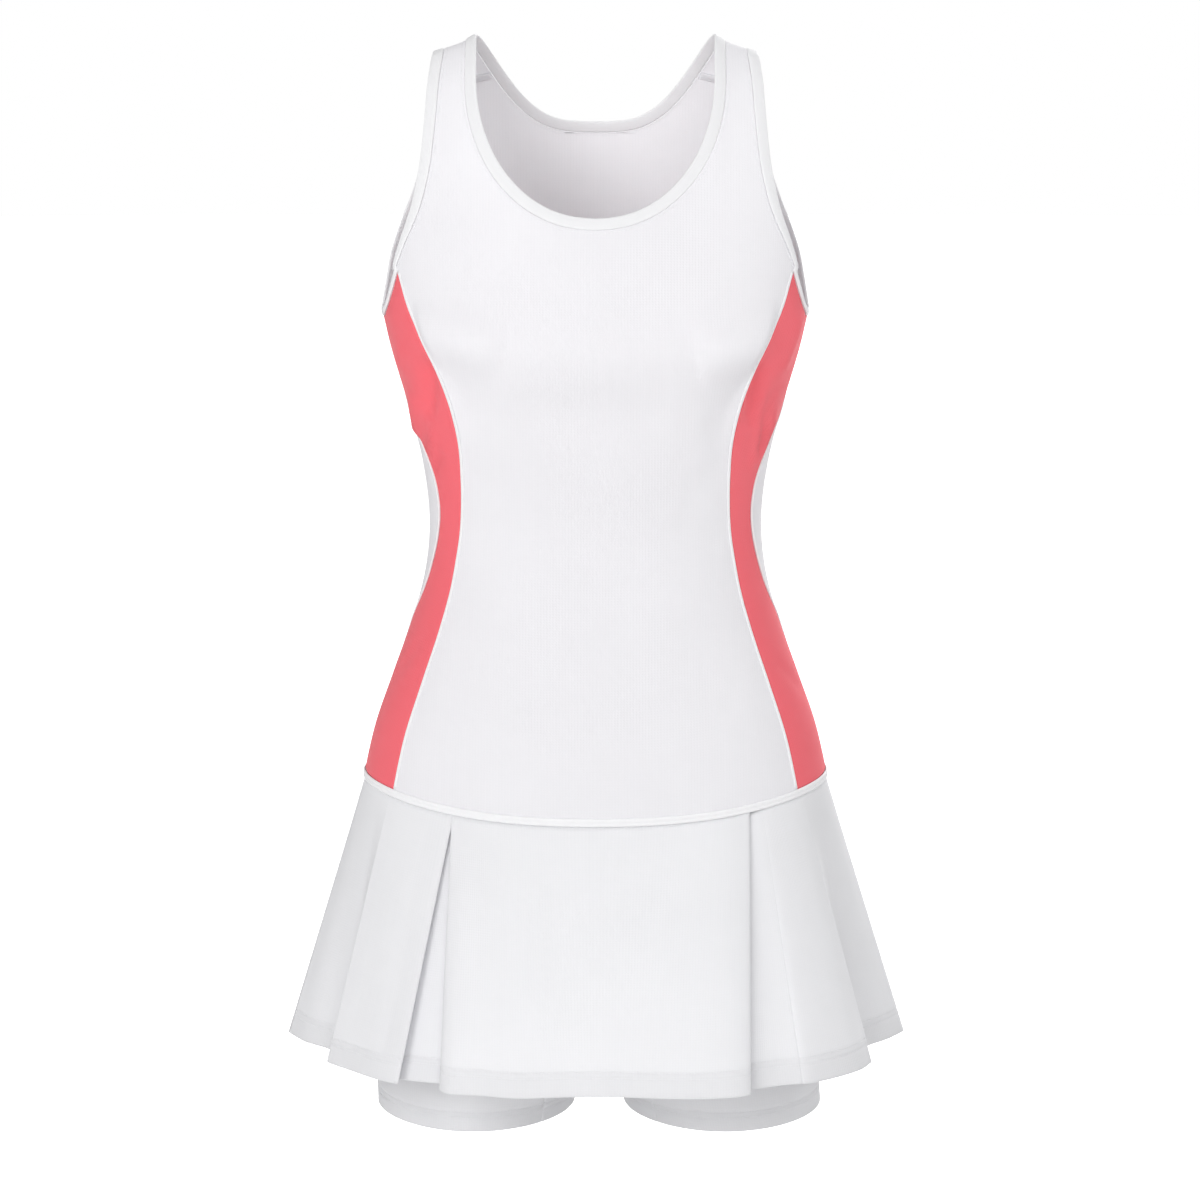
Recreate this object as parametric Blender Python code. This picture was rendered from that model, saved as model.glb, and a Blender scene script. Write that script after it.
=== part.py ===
"""A sleeveless tennis dress: fitted bodice, pleated skirt and inner shorts.

The dress is modelled as it is worn, as open cloth walls around an empty
hollow. Up is +Z and the front faces -Y. The origin is on the shoulder line,
midway between the two shoulders at the neck edge. Tables are in millimetres
and degrees; the mesh is in metres.
"""
import math

import bmesh
import bpy
from mathutils import Vector

MM = 0.001

# Cloth and seams (mm)
WALL = 1.2                 # thickness of a panel
SEAM_GAP = 0.3             # space between two sewn edges
BINDING_WIDTH = 9.6
BINDING_THICKNESS = 2.4
ARMHOLE_WIDTHS = (         # rise, share of the binding's width: narrow under the arm
    (0.172, 0.48), (0.25, 0.66), (0.35, 0.86), (0.45, 0.97), (0.60, 1.0), (1.0, 1.0),
)
BINDING_INSIDE = 0.55      # share of its thickness inside the cloth's face
BINDING_ROUNDING = 0.3     # rounding of its free edge, as a share of its thickness
BAND_RISE = 1.3            # how far the hip band stands out of the panels
BAND_HALF_HEIGHT = 2.6
BAND_ROUNDING = 0.6
LEDGE = 1.8                # thickness of the seam edges turned in behind the band
LAYER_PITCH = 2.6          # spacing of the cloth layers inside a pleat
HEM_FOLD = 17.0            # height of the turned-up skirt hem
HEM_EXTRA = 0.9            # extra thickness of a turned-up hem

# Torso: one row for each level, in mm
TORSO = (
    # height, half width, front depth, back depth
    (-215, 168.5, 113, 94),
    (-245, 161.5, 118, 88),
    (-290, 148.5, 108, 79),
    (-335, 137.4, 97, 71),
    (-380, 132.3, 89, 66),
    (-420, 135.5, 90, 72),
    (-460, 146.0, 96, 85),
    (-505, 162.0, 104, 98),
    (-550, 177.5, 111, 107),
    (-612, 191.0, 117, 115),
)
CHEST = TORSO[0][0]
ROUNDNESS = 2.3            # power of the rounded rings: 2 is an ellipse

# The arch from the front of the chest over the shoulder to the back
ARCH = (
    # run (1 is the shoulder line), rise, depth as a share of the chest's
    (0.00, 0.000, -1.000),
    (0.20, 0.220, -0.900),
    (0.40, 0.430, -0.745),
    (0.60, 0.640, -0.590),
    (0.80, 0.850, -0.370),
    (0.92, 0.965, -0.165),
    (1.00, 1.000, 0.000),
    (1.10, 0.955, 0.270),
    (1.22, 0.850, 0.540),
    (1.40, 0.660, 0.800),
    (1.60, 0.440, 0.950),
    (1.80, 0.220, 1.005),
    (2.00, 0.000, 1.000),
)
SHOULDER_LINE = (
    # distance from the centre, height: it stands up at the neck and falls outward
    (0, 11.5), (20, 11.4), (60, 7.5), (94, 0.0), (105, -5.5), (121, -11.0),
    (132, -14.5), (170, -27.0),
)
SHOULDER_SEAM_RUN = 1.215  # the front panel passes the shoulder and ends here

# Neck seam line, on the front and on the back (a rounded U)
NECK_HALF_WIDTH = 101.8
FRONT_NECK = {
    "lowest": 0.295, "straight": 0.88, "width_power": 2.15, "drop_power": 2.15, "crowding": 1.0,
}
BACK_NECK = {
    "lowest": 0.606, "straight": 1.0, "width_power": 3.05, "drop_power": 0.8, "crowding": 1.4,
}

# Armhole seam line: half width at each share of the rise
ARMHOLE = (
    # rise, front half width, back half width
    (0.172, 156.2, 163.0),
    (0.200, 154.6, 161.8),
    (0.230, 152.4, 159.9),
    (0.290, 147.4, 155.0),
    (0.350, 141.6, 149.3),
    (0.420, 135.8, 142.4),
    (0.510, 130.8, 135.2),
    (0.610, 127.1, 129.2),
    (0.770, 123.8, 123.2),
    (0.890, 121.8, 120.5),
    (1.000, 118.5, 118.5),
)
CORNER_RISE = ARMHOLE[0][0]  # where the side panel's top corners meet the armhole
UNDERARM = -219.0            # lowest point of the armhole

# Side panel seams: angle round the body from the centre front
SIDE_SEAMS = (
    # height, front seam, back seam
    (-182, 64.5, 105.7),
    (-193, 61.8, 105.8),
    (-205, 59.0, 105.6),
    (-216, 56.0, 104.8),
    (-232, 53.5, 102.4),
    (-256, 49.2, 97.4),
    (-285, 46.6, 89.0),
    (-312, 46.2, 76.4),
    (-340, 47.9, 67.6),
    (-365, 49.7, 65.6),
    (-385, 51.1, 67.3),
    (-410, 52.9, 71.9),
    (-440, 53.9, 79.5),
    (-470, 54.8, 92.0),
    (-520, 55.9, 101.0),
    (-600, 57.0, 106.0),
)

SEAM_START = (50.0, 100.0)   # first guess of the front and the back seam's angle

# Hip seam
HIP_SIDE = -585.5
HIP_FRONT_DIP = 21.0
HIP_BACK_DIP = 6.0

# Skirt
HEM_HEIGHT = -805.0
SKIRT_LEVELS = (0.0, 0.09, 0.28, 0.5, 0.72)   # rows above the hem, as shares of the drop
FOLD_STEP = 0.006          # drop over which the hem gets its extra thickness
SHORT_STRETCH = 14.0       # mm: a longer stretch of the fold table gets a point between
CURVE_SHARE = 16           # a sixteenth of the bends beside it curves a stretch
SKIRT_FRONT = (
    # hem x, hem y, angle at the hip seam, cloth layers in front of it there
    (-251, 12, -92, 0), (-235, -20, -82, 0), (-215, -43, -71, 0),
    (-204, -63, -64, 0), (-212.5, -85, -58.6, 0), (-194.5, -109, -52, 0),
    (-170, -139, -43, 0), (-153, -152, -34.0, 0),
    (-153.5, -148, -34.0, 1), (-168, -138, -40, 1),
    (-165, -134.5, -40, 2), (-138, -145, -33, 2), (-107, -157, -27, 2),
    (-106, -162, -27, 1), (-119, -166.5, -32.5, 1),
    (-120.4, -171, -32.5, 0), (-111, -183.5, -30, 0), (-90, -187.5, -25, 0),
    (-59, -195.5, -17, 0), (-20, -193.5, -6, 0), (18, -193.5, 5, 0),
    (50, -196, 15, 0), (82, -197, 25, 0), (108, -192, 33, 0),
    (119.2, -184, 36.8, 0),
    (118.5, -179.5, 36.8, 1), (102, -173, 31, 1),
    (102, -168, 31, 2), (121, -168, 37.3, 2), (143, -157, 38.6, 1.2),
    (155, -153, 40, 0.4), (167, -150, 43, 0), (187, -134, 49, 0),
    (209.5, -108, 55, 0), (218.5, -85.5, 59, 0), (208, -57, 65, 0),
    (219, -34, 73, 0), (237, -11, 83, 0), (252.5, 16, 92, 0),
)
SKIRT_BACK = (
    (252.5, 16, 92, 0), (240, 42, 101, 0), (215, 62, 112, 0),
    (219, 87, 121, 0), (195, 113, 129, 0), (168, 139, 137, 0),
    (152, 151, 146, 0),
    (152.5, 147, 146, 1), (167, 137, 140, 1),
    (164, 133.5, 140, 2), (137, 144, 147, 2), (107, 155, 153, 2),
    (106, 160, 153, 1), (119, 164.5, 147.5, 1),
    (120, 168.5, 147.5, 0), (110, 179, 150, 0), (88, 184, 155, 0),
    (54, 189, 164, 0), (8, 185, 178, 0), (-46, 188, 192, 0),
    (-86, 185, 204.5, 0), (-109, 180, 210, 0), (-119, 169, 212.5, 0),
    (-118, 165, 212.5, 1), (-105, 161, 207, 1),
    (-106, 156, 207, 2), (-136, 145, 213, 2), (-163, 135, 220, 2),
    (-166, 138.5, 220, 1), (-151.5, 148, 214, 1),
    (-151, 152, 214, 0), (-170, 139, 223, 0), (-196, 111, 231, 0),
    (-215, 87, 239, 0), (-211, 61, 248, 0), (-238, 38, 259, 0),
    (-251, 12, 268, 0),
)

# Inner shorts: one row for each level below the hip seam
SHORTS = (
    # height, half width, front depth, back depth
    (-584, 178.0, 106, 104),
    (-640, 181.0, 106, 108),
    (-700, 181.0, 101, 108),
    (-772, 178.0, 90, 96),
)
SHORTS_ROWS = (-606, -650, -690, -722, -745, -761)
LEG_ROW = -800             # a row half way down the leg
LEG_FOLD = 16.0            # height of the turned-up leg hem
SHORTS_COLUMNS = 24
CROTCH_SHARPNESS = 4       # power of the change from one hip to two legs
SHORTS_DEPTH = 8.3         # how far inside the hip seam the shorts are sewn
CROTCH = -772.0
LEG_HEM = -861.0
LEG_CENTRES = {"left": 97.0, "right": 103.0}
LEG_HALF_WIDTH = 80.0
LEG_HALF_DEPTH = 90.0
LEG_BACK_SHIFT = 2.0
LEG_SIDE_RISE = 3.6        # how much higher the leg hem is at the sides than in front

# Mesh rows and columns
PANEL_COLUMNS = 20
SIDE_COLUMNS = 8
LOW_ROWS = 13              # rows of a bodice panel from the hip seam to the chest
FRONT_LOW_RISES = (0.06, 0.115, CORNER_RISE, 0.23)
BACK_LOW_RISES = (0.06, 0.115, CORNER_RISE, 0.23, 0.31, 0.41, 0.51)
NECK_ROWS = 7
LEAST_ROW = 0.03           # least run between the shoulder seam and the next row
HIP_STATIONS = 64
SHARP_ANGLE = 50           # edges bent more than this are shaded sharp
NECK_MIDDLE = -40.0        # height of the middle of the neck opening
ARM_POINT = (230.0, -100.0)  # x and height of a point out of each armhole
UNDERARM_DIP_POWER = 2.2   # shape of the seam under the arm
SEAM_INSET = math.degrees(SEAM_GAP / 2 / 120)   # angle that makes half a seam gap
SHOULDER_GAP = SEAM_GAP / 2 / 260                # run that makes half a seam gap

# Colours (linear), roughness
WHITE_KNIT = ("white knit", (0.84, 0.83, 0.87), 0.75)
WHITE_WEAVE = ("white skirt cloth", (0.82, 0.81, 0.85), 0.8)
WHITE_BINDING = ("white binding", (0.87, 0.87, 0.9), 0.7)
CORAL_KNIT = ("coral knit", (0.88, 0.19, 0.2), 0.75)


def along(rows, key, column):
    """Read a table's column at a key, on a smooth curve through the rows."""
    up = rows if rows[0][0] < rows[-1][0] else rows[::-1]
    if key <= up[0][0]:
        return up[0][column]
    if key >= up[-1][0]:
        return up[-1][column]
    i = max(n for n in range(len(up) - 1) if up[n][0] <= key)
    span = up[i + 1][0] - up[i][0]
    t = (key - up[i][0]) / span

    def slope(n):
        before, after = max(n - 1, 0), min(n + 1, len(up) - 1)
        return (up[after][column] - up[before][column]) / (up[after][0] - up[before][0])

    a, b = up[i][column], up[i + 1][column]
    m0, m1 = slope(i) * span, slope(i + 1) * span
    return (
        a * (2 * t**3 - 3 * t**2 + 1)
        + m0 * (t**3 - 2 * t**2 + t)
        + b * (3 * t**2 - 2 * t**3)
        + m1 * (t**3 - t**2)
    )


def rounded(value):
    """Signed power that turns a sine or cosine into a rounded ring's."""
    return math.copysign(abs(value) ** (2 / ROUNDNESS), value)


def angle_at(x, half_width):
    """Angle from the centre line at which a ring has this x."""
    return math.degrees(math.asin(min(1.0, (abs(x) / half_width) ** (ROUNDNESS / 2))))


def ring(angle, half_width, front, back):
    """Point of a rounded ring, in plan."""
    turn = math.radians(angle)
    depth = front if math.cos(turn) > 0 else back
    return half_width * rounded(math.sin(turn)), -depth * rounded(math.cos(turn))


def shoulder_height(x):
    """Height of the shoulder line, which falls away from the neck."""
    return along(SHOULDER_LINE, abs(x), 1)


def arch_point(angle, run):
    """Point above the chest: angle on the chest's ring, run over the shoulder."""
    half_width, front, back = TORSO[0][1:]
    turn = math.radians(angle)
    x = half_width * rounded(math.sin(turn))
    share = along(ARCH, run, 2)
    y = share * (front if share < 0 else back) * rounded(abs(math.cos(turn)))
    z = CHEST + along(ARCH, run, 1) * (shoulder_height(x) - CHEST)
    return Vector((x, y, z))


def run_at(rise, back=False):
    """Run at which the arch reaches this rise, on the front or the back."""
    low, high = (1.0, 2.0) if back else (0.0, 1.0)
    for _ in range(40):
        middle = (low + high) / 2
        if (along(ARCH, middle, 1) < rise) != back:
            low = middle
        else:
            high = middle
    return low


def body_point(angle, z):
    """Point of the bodice's outer surface at an angle and height."""
    if z <= CHEST:
        x, y = ring(angle, *(along(TORSO, z, column) for column in (1, 2, 3)))
        return Vector((x, y, z))
    half_width = TORSO[0][1]
    x = half_width * rounded(math.sin(math.radians(angle)))
    rise = (z - CHEST) / (shoulder_height(x) - CHEST)
    return arch_point(angle, run_at(rise, math.cos(math.radians(angle)) < 0))


def hip_height(angle):
    """Height of the hip seam, which dips at the centre front and back."""
    level = math.cos(math.radians(angle))
    return HIP_SIDE - (HIP_FRONT_DIP if level > 0 else HIP_BACK_DIP) * level * level


def with_normal(surface, u, v, step_u, step_v):
    """Point of a surface and its normal, turned away from the body's middle."""
    point = surface(u, v)
    across = surface(u + step_u, v) - surface(u - step_u, v)
    up = surface(u, v + step_v) - surface(u, v - step_v)
    normal = across.cross(up).normalized()
    outward = Vector((point.x, point.y, max(0.0, point.z - CHEST)))
    return point, normal if normal.dot(outward) > 0 else -normal


def on_body(angle, z):
    return with_normal(body_point, angle, z, 0.5, 0.5)


def on_arch(angle, run):
    return with_normal(arch_point, angle, run, 0.5, 0.002)


def neck_width(run):
    """Half width of the neck seam line where it crosses this run."""
    neck = FRONT_NECK if run < 1 else BACK_NECK
    rise = along(ARCH, run, 1)
    drop = (neck["straight"] - rise) / (neck["straight"] - neck["lowest"])
    if drop <= 0:
        return NECK_HALF_WIDTH
    share = max(0.0, 1 - drop ** neck["drop_power"])
    return NECK_HALF_WIDTH * share ** (1 / neck["width_power"])


def armhole_width(run):
    """Half width of the armhole seam line where it crosses this run."""
    return along(ARMHOLE, along(ARCH, run, 1), 1 if run < 1 else 2)


def neck_rises(neck, count):
    """Rises at which rows cross the neck's curve, close together at its bottom."""
    rises = []
    for step in range(count + 1):
        turn = math.radians(90 * (step / count) ** neck["crowding"])
        drop = math.cos(turn) ** (2 / neck["drop_power"])
        rises.append(neck["straight"] - (neck["straight"] - neck["lowest"]) * drop)
    return rises


def spread(low, high, count):
    """Evenly spaced values, without the first one."""
    return [low + (high - low) * step / count for step in range(1, count + 1)]


def panel_runs(back):
    """Runs of a bodice panel's rows from the chest to the shoulder seam."""
    neck = BACK_NECK if back else FRONT_NECK
    runs = [2.0 if back else 0.0]
    runs += [run_at(rise, back) for rise in (BACK_LOW_RISES if back else FRONT_LOW_RISES)]
    runs += [run_at(rise, back) for rise in neck_rises(neck, NECK_ROWS)]
    if back:
        return [run for run in runs if run > SHOULDER_SEAM_RUN + LEAST_ROW] + [SHOULDER_SEAM_RUN]
    return runs + spread(runs[-1], 1.0, 2) + spread(1.0, SHOULDER_SEAM_RUN, 3)


def slit_row(back):
    """Row of a bodice panel at the lowest point of its neck seam."""
    return LOW_ROWS + len(BACK_LOW_RISES if back else FRONT_LOW_RISES) + 1


def seam_rows(back):
    """Heights and angles of the side seam at the panel's rows, up to the corner."""
    rows = []
    for row in range(LOW_ROWS + 1):
        angle = SEAM_START[back]
        for _ in range(5):
            bottom = hip_height(angle) + BAND_HALF_HEIGHT + SEAM_GAP
            z = bottom + (CHEST - bottom) * row / LOW_ROWS
            angle = along(SIDE_SEAMS, z, 2 if back else 1)
        rows.append((z, angle))
    for rise in (FRONT_LOW_RISES[:3]):
        angle = rows[-1][1]
        for _ in range(8):
            x = TORSO[0][1] * rounded(math.sin(math.radians(angle)))
            z = CHEST + rise * (shoulder_height(x) - CHEST)
            angle = along(SIDE_SEAMS, z, 2 if back else 1)
        rows.append((z, angle))
    return rows


def finish_object(bm, name, finish):
    """Make the object with its material, shaded smooth but for sharp edges."""
    mesh = bpy.data.meshes.new(name)
    bm.to_mesh(mesh)
    bm.free()
    mesh.shade_smooth()
    mesh.set_sharp_from_angle(angle=math.radians(SHARP_ANGLE))
    item = bpy.data.objects.new(name, mesh)
    bpy.context.collection.objects.link(item)
    material_name, colour, roughness = finish
    material = bpy.data.materials.get(material_name)
    if material is None:
        material = bpy.data.materials.new(material_name)
        material.use_nodes = True
        shader = material.node_tree.nodes["Principled BSDF"]
        shader.inputs["Base Color"].default_value = (*colour, 1)
        shader.inputs["Roughness"].default_value = roughness
        shader.inputs["Metallic"].default_value = 0
    mesh.materials.append(material)
    return item


def wall(name, columns, rows, place, finish, slit_from=None):
    """Closed wall on a grid. place(column, row) gives the outer and inner point.

    Above the row slit_from the grid is slit down its middle column, and the
    slit's sides are told apart by a column just below or above the middle.
    """
    bm = bmesh.new()
    bmesh.ops.create_grid(bm, x_segments=columns, y_segments=rows, size=0.5)
    for vert in bm.verts:
        vert.co.x = round((vert.co.x + 0.5) * columns)
        vert.co.y = round((vert.co.y + 0.5) * rows)
    if slit_from is not None:
        middle = columns // 2
        edges = [
            edge
            for edge in bm.edges
            if all(v.co.x == middle and v.co.y >= slit_from for v in edge.verts)
        ]
        bmesh.ops.split_edges(bm, edges=edges)
        for vert in bm.verts:
            if vert.co.x == middle and vert.co.y > slit_from:
                side = sum(face.calc_center_median().x - middle for face in vert.link_faces)
                vert.co.x += math.copysign(0.01, side)
    outside = list(bm.faces)
    made = bmesh.ops.extrude_face_region(bm, geom=outside)["geom"]
    inner = {item for item in made if isinstance(item, bmesh.types.BMVert)}
    for vert in bm.verts:
        vert.co = Vector(place(vert.co.x, vert.co.y)[1 if vert in inner else 0]) * MM
    bmesh.ops.recalc_face_normals(bm, faces=bm.faces)
    if bm.calc_volume(signed=True) < 0:
        bmesh.ops.reverse_faces(bm, faces=bm.faces)
    return finish_object(bm, name, finish)


def sweep(name, stations, profile, finish):
    """Closed loop of a profile carried round the stations.

    A station is a point, its outward normal and its sideways direction. The
    profile's corners are (sideways, outward) distances.
    """
    bm = bmesh.new()
    loops = []
    for point, normal, aside, stretch in stations:
        corners = [
            bm.verts.new((point + aside * (across * stretch) + normal * out) * MM)
            for across, out in profile
        ]
        loops.append(corners)
    for here, there in zip(loops, loops[1:] + loops[:1]):
        for n in range(len(profile)):
            m = (n + 1) % len(profile)
            bm.faces.new((here[n], here[m], there[m], there[n]))
    bmesh.ops.recalc_face_normals(bm, faces=bm.faces)
    if bm.calc_volume(signed=True) < 0:
        bmesh.ops.reverse_faces(bm, faces=bm.faces)
    return finish_object(bm, name, finish)


def sheet_place(point, normal):
    """Outer and inner point of a panel's wall."""
    return point, point - normal * WALL


def bodice(name, back):
    """Front or back panel, from the hip seam to the shoulder seam."""
    runs = panel_runs(back)
    slit = slit_row(back)
    seam = seam_rows(back)
    half = PANEL_COLUMNS / 2

    def place(column, row):
        share = abs(column - half) / half
        side = math.copysign(1, column - half)
        row = int(row)
        if row < len(seam):
            outer = 180 - seam[row][1] if back else seam[row][1]
        else:
            outer = angle_at(armhole_width(runs[row - LOW_ROWS]), TORSO[0][1])
        outer -= SEAM_INSET
        if row < LOW_ROWS:
            angle = side * share * outer
            angle = 180 - angle if back else angle
            bottom = hip_height(angle) + BAND_HALF_HEIGHT + SEAM_GAP
            z = bottom + (CHEST - bottom) * row / LOW_ROWS
            return sheet_place(*on_body(angle, z))
        run = runs[row - LOW_ROWS]
        inner = 0.0
        if row > slit:
            inner = angle_at(neck_width(run), TORSO[0][1]) + SEAM_INSET
        angle = side * (inner + share * (outer - inner))
        if run == SHOULDER_SEAM_RUN:
            run += SHOULDER_GAP if back else -SHOULDER_GAP
        return sheet_place(*on_arch(angle, run))

    rows = LOW_ROWS + len(runs) - 1
    return wall(name, PANEL_COLUMNS, rows, place, WHITE_KNIT, slit_from=slit)


def side_panel(name, side):
    """Coral panel under the arm, narrow at the waist."""
    front, back = seam_rows(False), seam_rows(True)
    rows = len(front) - 1
    corner = (front[-1][0] + back[-1][0]) / 2

    def place(column, row):
        share = column / SIDE_COLUMNS
        row = int(row)
        start = front[row][1] + SEAM_INSET
        angle = start + (back[row][1] - SEAM_INSET - start) * share
        bottom = hip_height(angle) + BAND_HALF_HEIGHT + SEAM_GAP
        if row <= LOW_ROWS:
            z = bottom + (CHEST - bottom) * row / LOW_ROWS
        else:
            z = front[row][0] + (back[row][0] - front[row][0]) * share
        up = (z - bottom) / (corner - bottom)
        z -= ((corner - UNDERARM) * dip(share) + SEAM_GAP) * up**3
        return sheet_place(*on_body(side * angle, z))

    return wall(name, SIDE_COLUMNS, rows, place, CORAL_KNIT)


def dip(share):
    """How far an edge between two corners has fallen, from 0 to 1."""
    return 1 - abs(2 * share - 1) ** UNDERARM_DIP_POWER


def band_profile(width, thickness):
    """Flat band's section from its seam edge inward, with softened edges."""
    low, high = -thickness * BINDING_INSIDE, thickness * (1 - BINDING_INSIDE)
    round_over = thickness * BINDING_ROUNDING
    return (
        (SEAM_GAP / 2, low), (width - round_over, low), (width, low + round_over),
        (width, high - round_over), (width - round_over, high), (SEAM_GAP / 2, high),
    )


def seam_stations(points, hint):
    """Frames along a closed line on the cloth. hint points to the opening."""
    stations = []
    count = len(points)
    for n, (point, normal, stretch) in enumerate(points):
        tangent = (points[(n + 1) % count][0] - points[n - 1][0]).normalized()
        aside = normal.cross(tangent).normalized()
        if aside.dot(hint - point) < 0:
            aside = -aside
        stations.append((point, normal, aside, stretch))
    return stations


def neck_binding():
    """Binding round the front of the neck, over both shoulders and round the back."""
    front = panel_runs(False)[slit_row(False) - LOW_ROWS:]
    back = panel_runs(True)[slit_row(True) - LOW_ROWS:]
    half = []
    for run in front + back[::-1][1:]:
        lowest = run in (front[0], back[0])
        angle = 0.0 if lowest else angle_at(neck_width(run), TORSO[0][1])
        half.append((*on_arch(angle, run), 1.0))
    other = [
        (Vector((-p.x, p.y, p.z)), Vector((-n.x, n.y, n.z)), w) for p, n, w in half[1:-1]
    ]
    stations = seam_stations(half + other[::-1], Vector((0, 0, NECK_MIDDLE)))
    profile = band_profile(BINDING_WIDTH, BINDING_THICKNESS)
    return sweep("neck_binding", stations, profile, WHITE_BINDING)


def armhole_binding(name, side):
    """Binding up the front of the armhole, over the shoulder, down and under the arm."""
    front, back = panel_runs(False), panel_runs(True)
    corner = run_at(CORNER_RISE), run_at(CORNER_RISE, True)
    runs = [run for run in front if run > corner[0] + 1e-4]
    runs += [run for run in back[::-1][1:] if run < corner[1] - 1e-4]
    line = []
    for run in runs:
        angle = angle_at(armhole_width(run), TORSO[0][1])
        stretch = along(ARMHOLE_WIDTHS, along(ARCH, run, 1), 1)
        line.append((*on_arch(side * angle, run), stretch))
    front, back = seam_rows(False)[-1], seam_rows(True)[-1]
    for column in range(SIDE_COLUMNS, -1, -1):
        share = column / SIDE_COLUMNS
        z = front[0] + (back[0] - front[0]) * share
        z -= ((front[0] + back[0]) / 2 - UNDERARM) * dip(share)
        angle = front[1] + (back[1] - front[1]) * share
        line.append((*on_body(side * angle, z), ARMHOLE_WIDTHS[0][1]))
    stations = seam_stations(line, Vector((side * ARM_POINT[0], 0, ARM_POINT[1])))
    return sweep(name, stations, band_profile(BINDING_WIDTH, BINDING_THICKNESS), WHITE_BINDING)


def hip_ring(angle, depth=0.0, drop=0.0):
    """Point at the hip seam, moved into the body and down."""
    point, normal = on_body(angle, hip_height(angle))
    flat = Vector((normal.x, normal.y, 0)).normalized()
    return point - flat * depth - Vector((0, 0, drop))


def hip_band():
    """Raised band over the hip seam, with the seam's edges turned in behind it."""
    low, high = -BAND_HALF_HEIGHT, BAND_HALF_HEIGHT
    turned_in = SHORTS_DEPTH + WALL
    face, edge = BAND_RISE, BAND_RISE - BAND_ROUNDING
    profile = (
        (low, edge), (low + BAND_ROUNDING, face), (high - BAND_ROUNDING, face),
        (high, edge), (high, -WALL), (low + LEDGE, -WALL),
        (low + LEDGE, -turned_in), (low, -turned_in),
    )
    stations = []
    for step in range(HIP_STATIONS):
        angle = 360 * step / HIP_STATIONS
        point = hip_ring(angle)
        out = (point - hip_ring(angle, 1.0)).normalized()
        stations.append((point, out, Vector((0, 0, 1)), 1.0))
    return sweep("hip_band", stations, profile, WHITE_BINDING)


def soften(rows):
    """Fold table with a point added between rows, on a curve where it is not a fold."""
    out = []
    for n, row in enumerate(rows):
        out.append(row)
        if n == len(rows) - 1:
            break
        after = rows[n + 1]
        if math.hypot(after[0] - row[0], after[1] - row[1]) < SHORT_STRETCH:
            continue
        before = rows[n - 1] if n else row
        beyond = rows[n + 2] if n + 2 < len(rows) else after
        middle = [(a + b) / 2 for a, b in zip(row, after)]
        if all(r[3] == 0 for r in (before, row, after, beyond)):
            for axis in (0, 1):
                bend = row[axis] + after[axis] - before[axis] - beyond[axis]
                middle[axis] += bend / CURVE_SHARE
        out.append(tuple(middle))
    return out


def skirt(name, rows):
    """Half of the skirt: a pleated wall from the hip seam to the hem."""
    folds = soften(rows)
    fold_line = 1 - HEM_FOLD / (HIP_SIDE - HEM_HEIGHT)
    levels = (*SKIRT_LEVELS, fold_line, fold_line + FOLD_STEP, 1.0)
    drop = BAND_HALF_HEIGHT + SEAM_GAP

    def plan(level):
        points = []
        for hem_x, hem_y, angle, depth in folds:
            top = hip_ring(angle, WALL / 2 + depth * LAYER_PITCH, drop)
            points.append(top.lerp(Vector((hem_x, hem_y, HEM_HEIGHT)), level))
        return points

    plans = [plan(level) for level in levels]

    def place(column, row):
        points = plans[int(row)]
        n = int(column)
        here = points[n]
        ahead = (points[min(n + 1, len(points) - 1)] - here).to_2d()
        behind = (here - points[max(n - 1, 0)]).to_2d()
        ahead = ahead.normalized() if n < len(points) - 1 else behind.normalized()
        behind = behind.normalized() if n else ahead
        mitre = (Vector((ahead.y, -ahead.x)) + Vector((behind.y, -behind.x))).normalized()
        mitre /= max(0.7, mitre.dot(Vector((ahead.y, -ahead.x))))
        normal = Vector((*mitre, 0))
        if n in (0, len(points) - 1):
            apart = -SEAM_GAP / 2 if points[len(points) // 2].y < 0 else SEAM_GAP / 2
            here = here + Vector((0, apart, 0))
            normal = Vector((math.copysign(1, here.x), 0, 0))
        inside = WALL / 2 + (HEM_EXTRA if levels[int(row)] > fold_line else 0)
        return here + normal * (WALL / 2), here - normal * inside

    return wall(name, len(folds) - 1, len(levels) - 1, place, WHITE_WEAVE)


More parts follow.
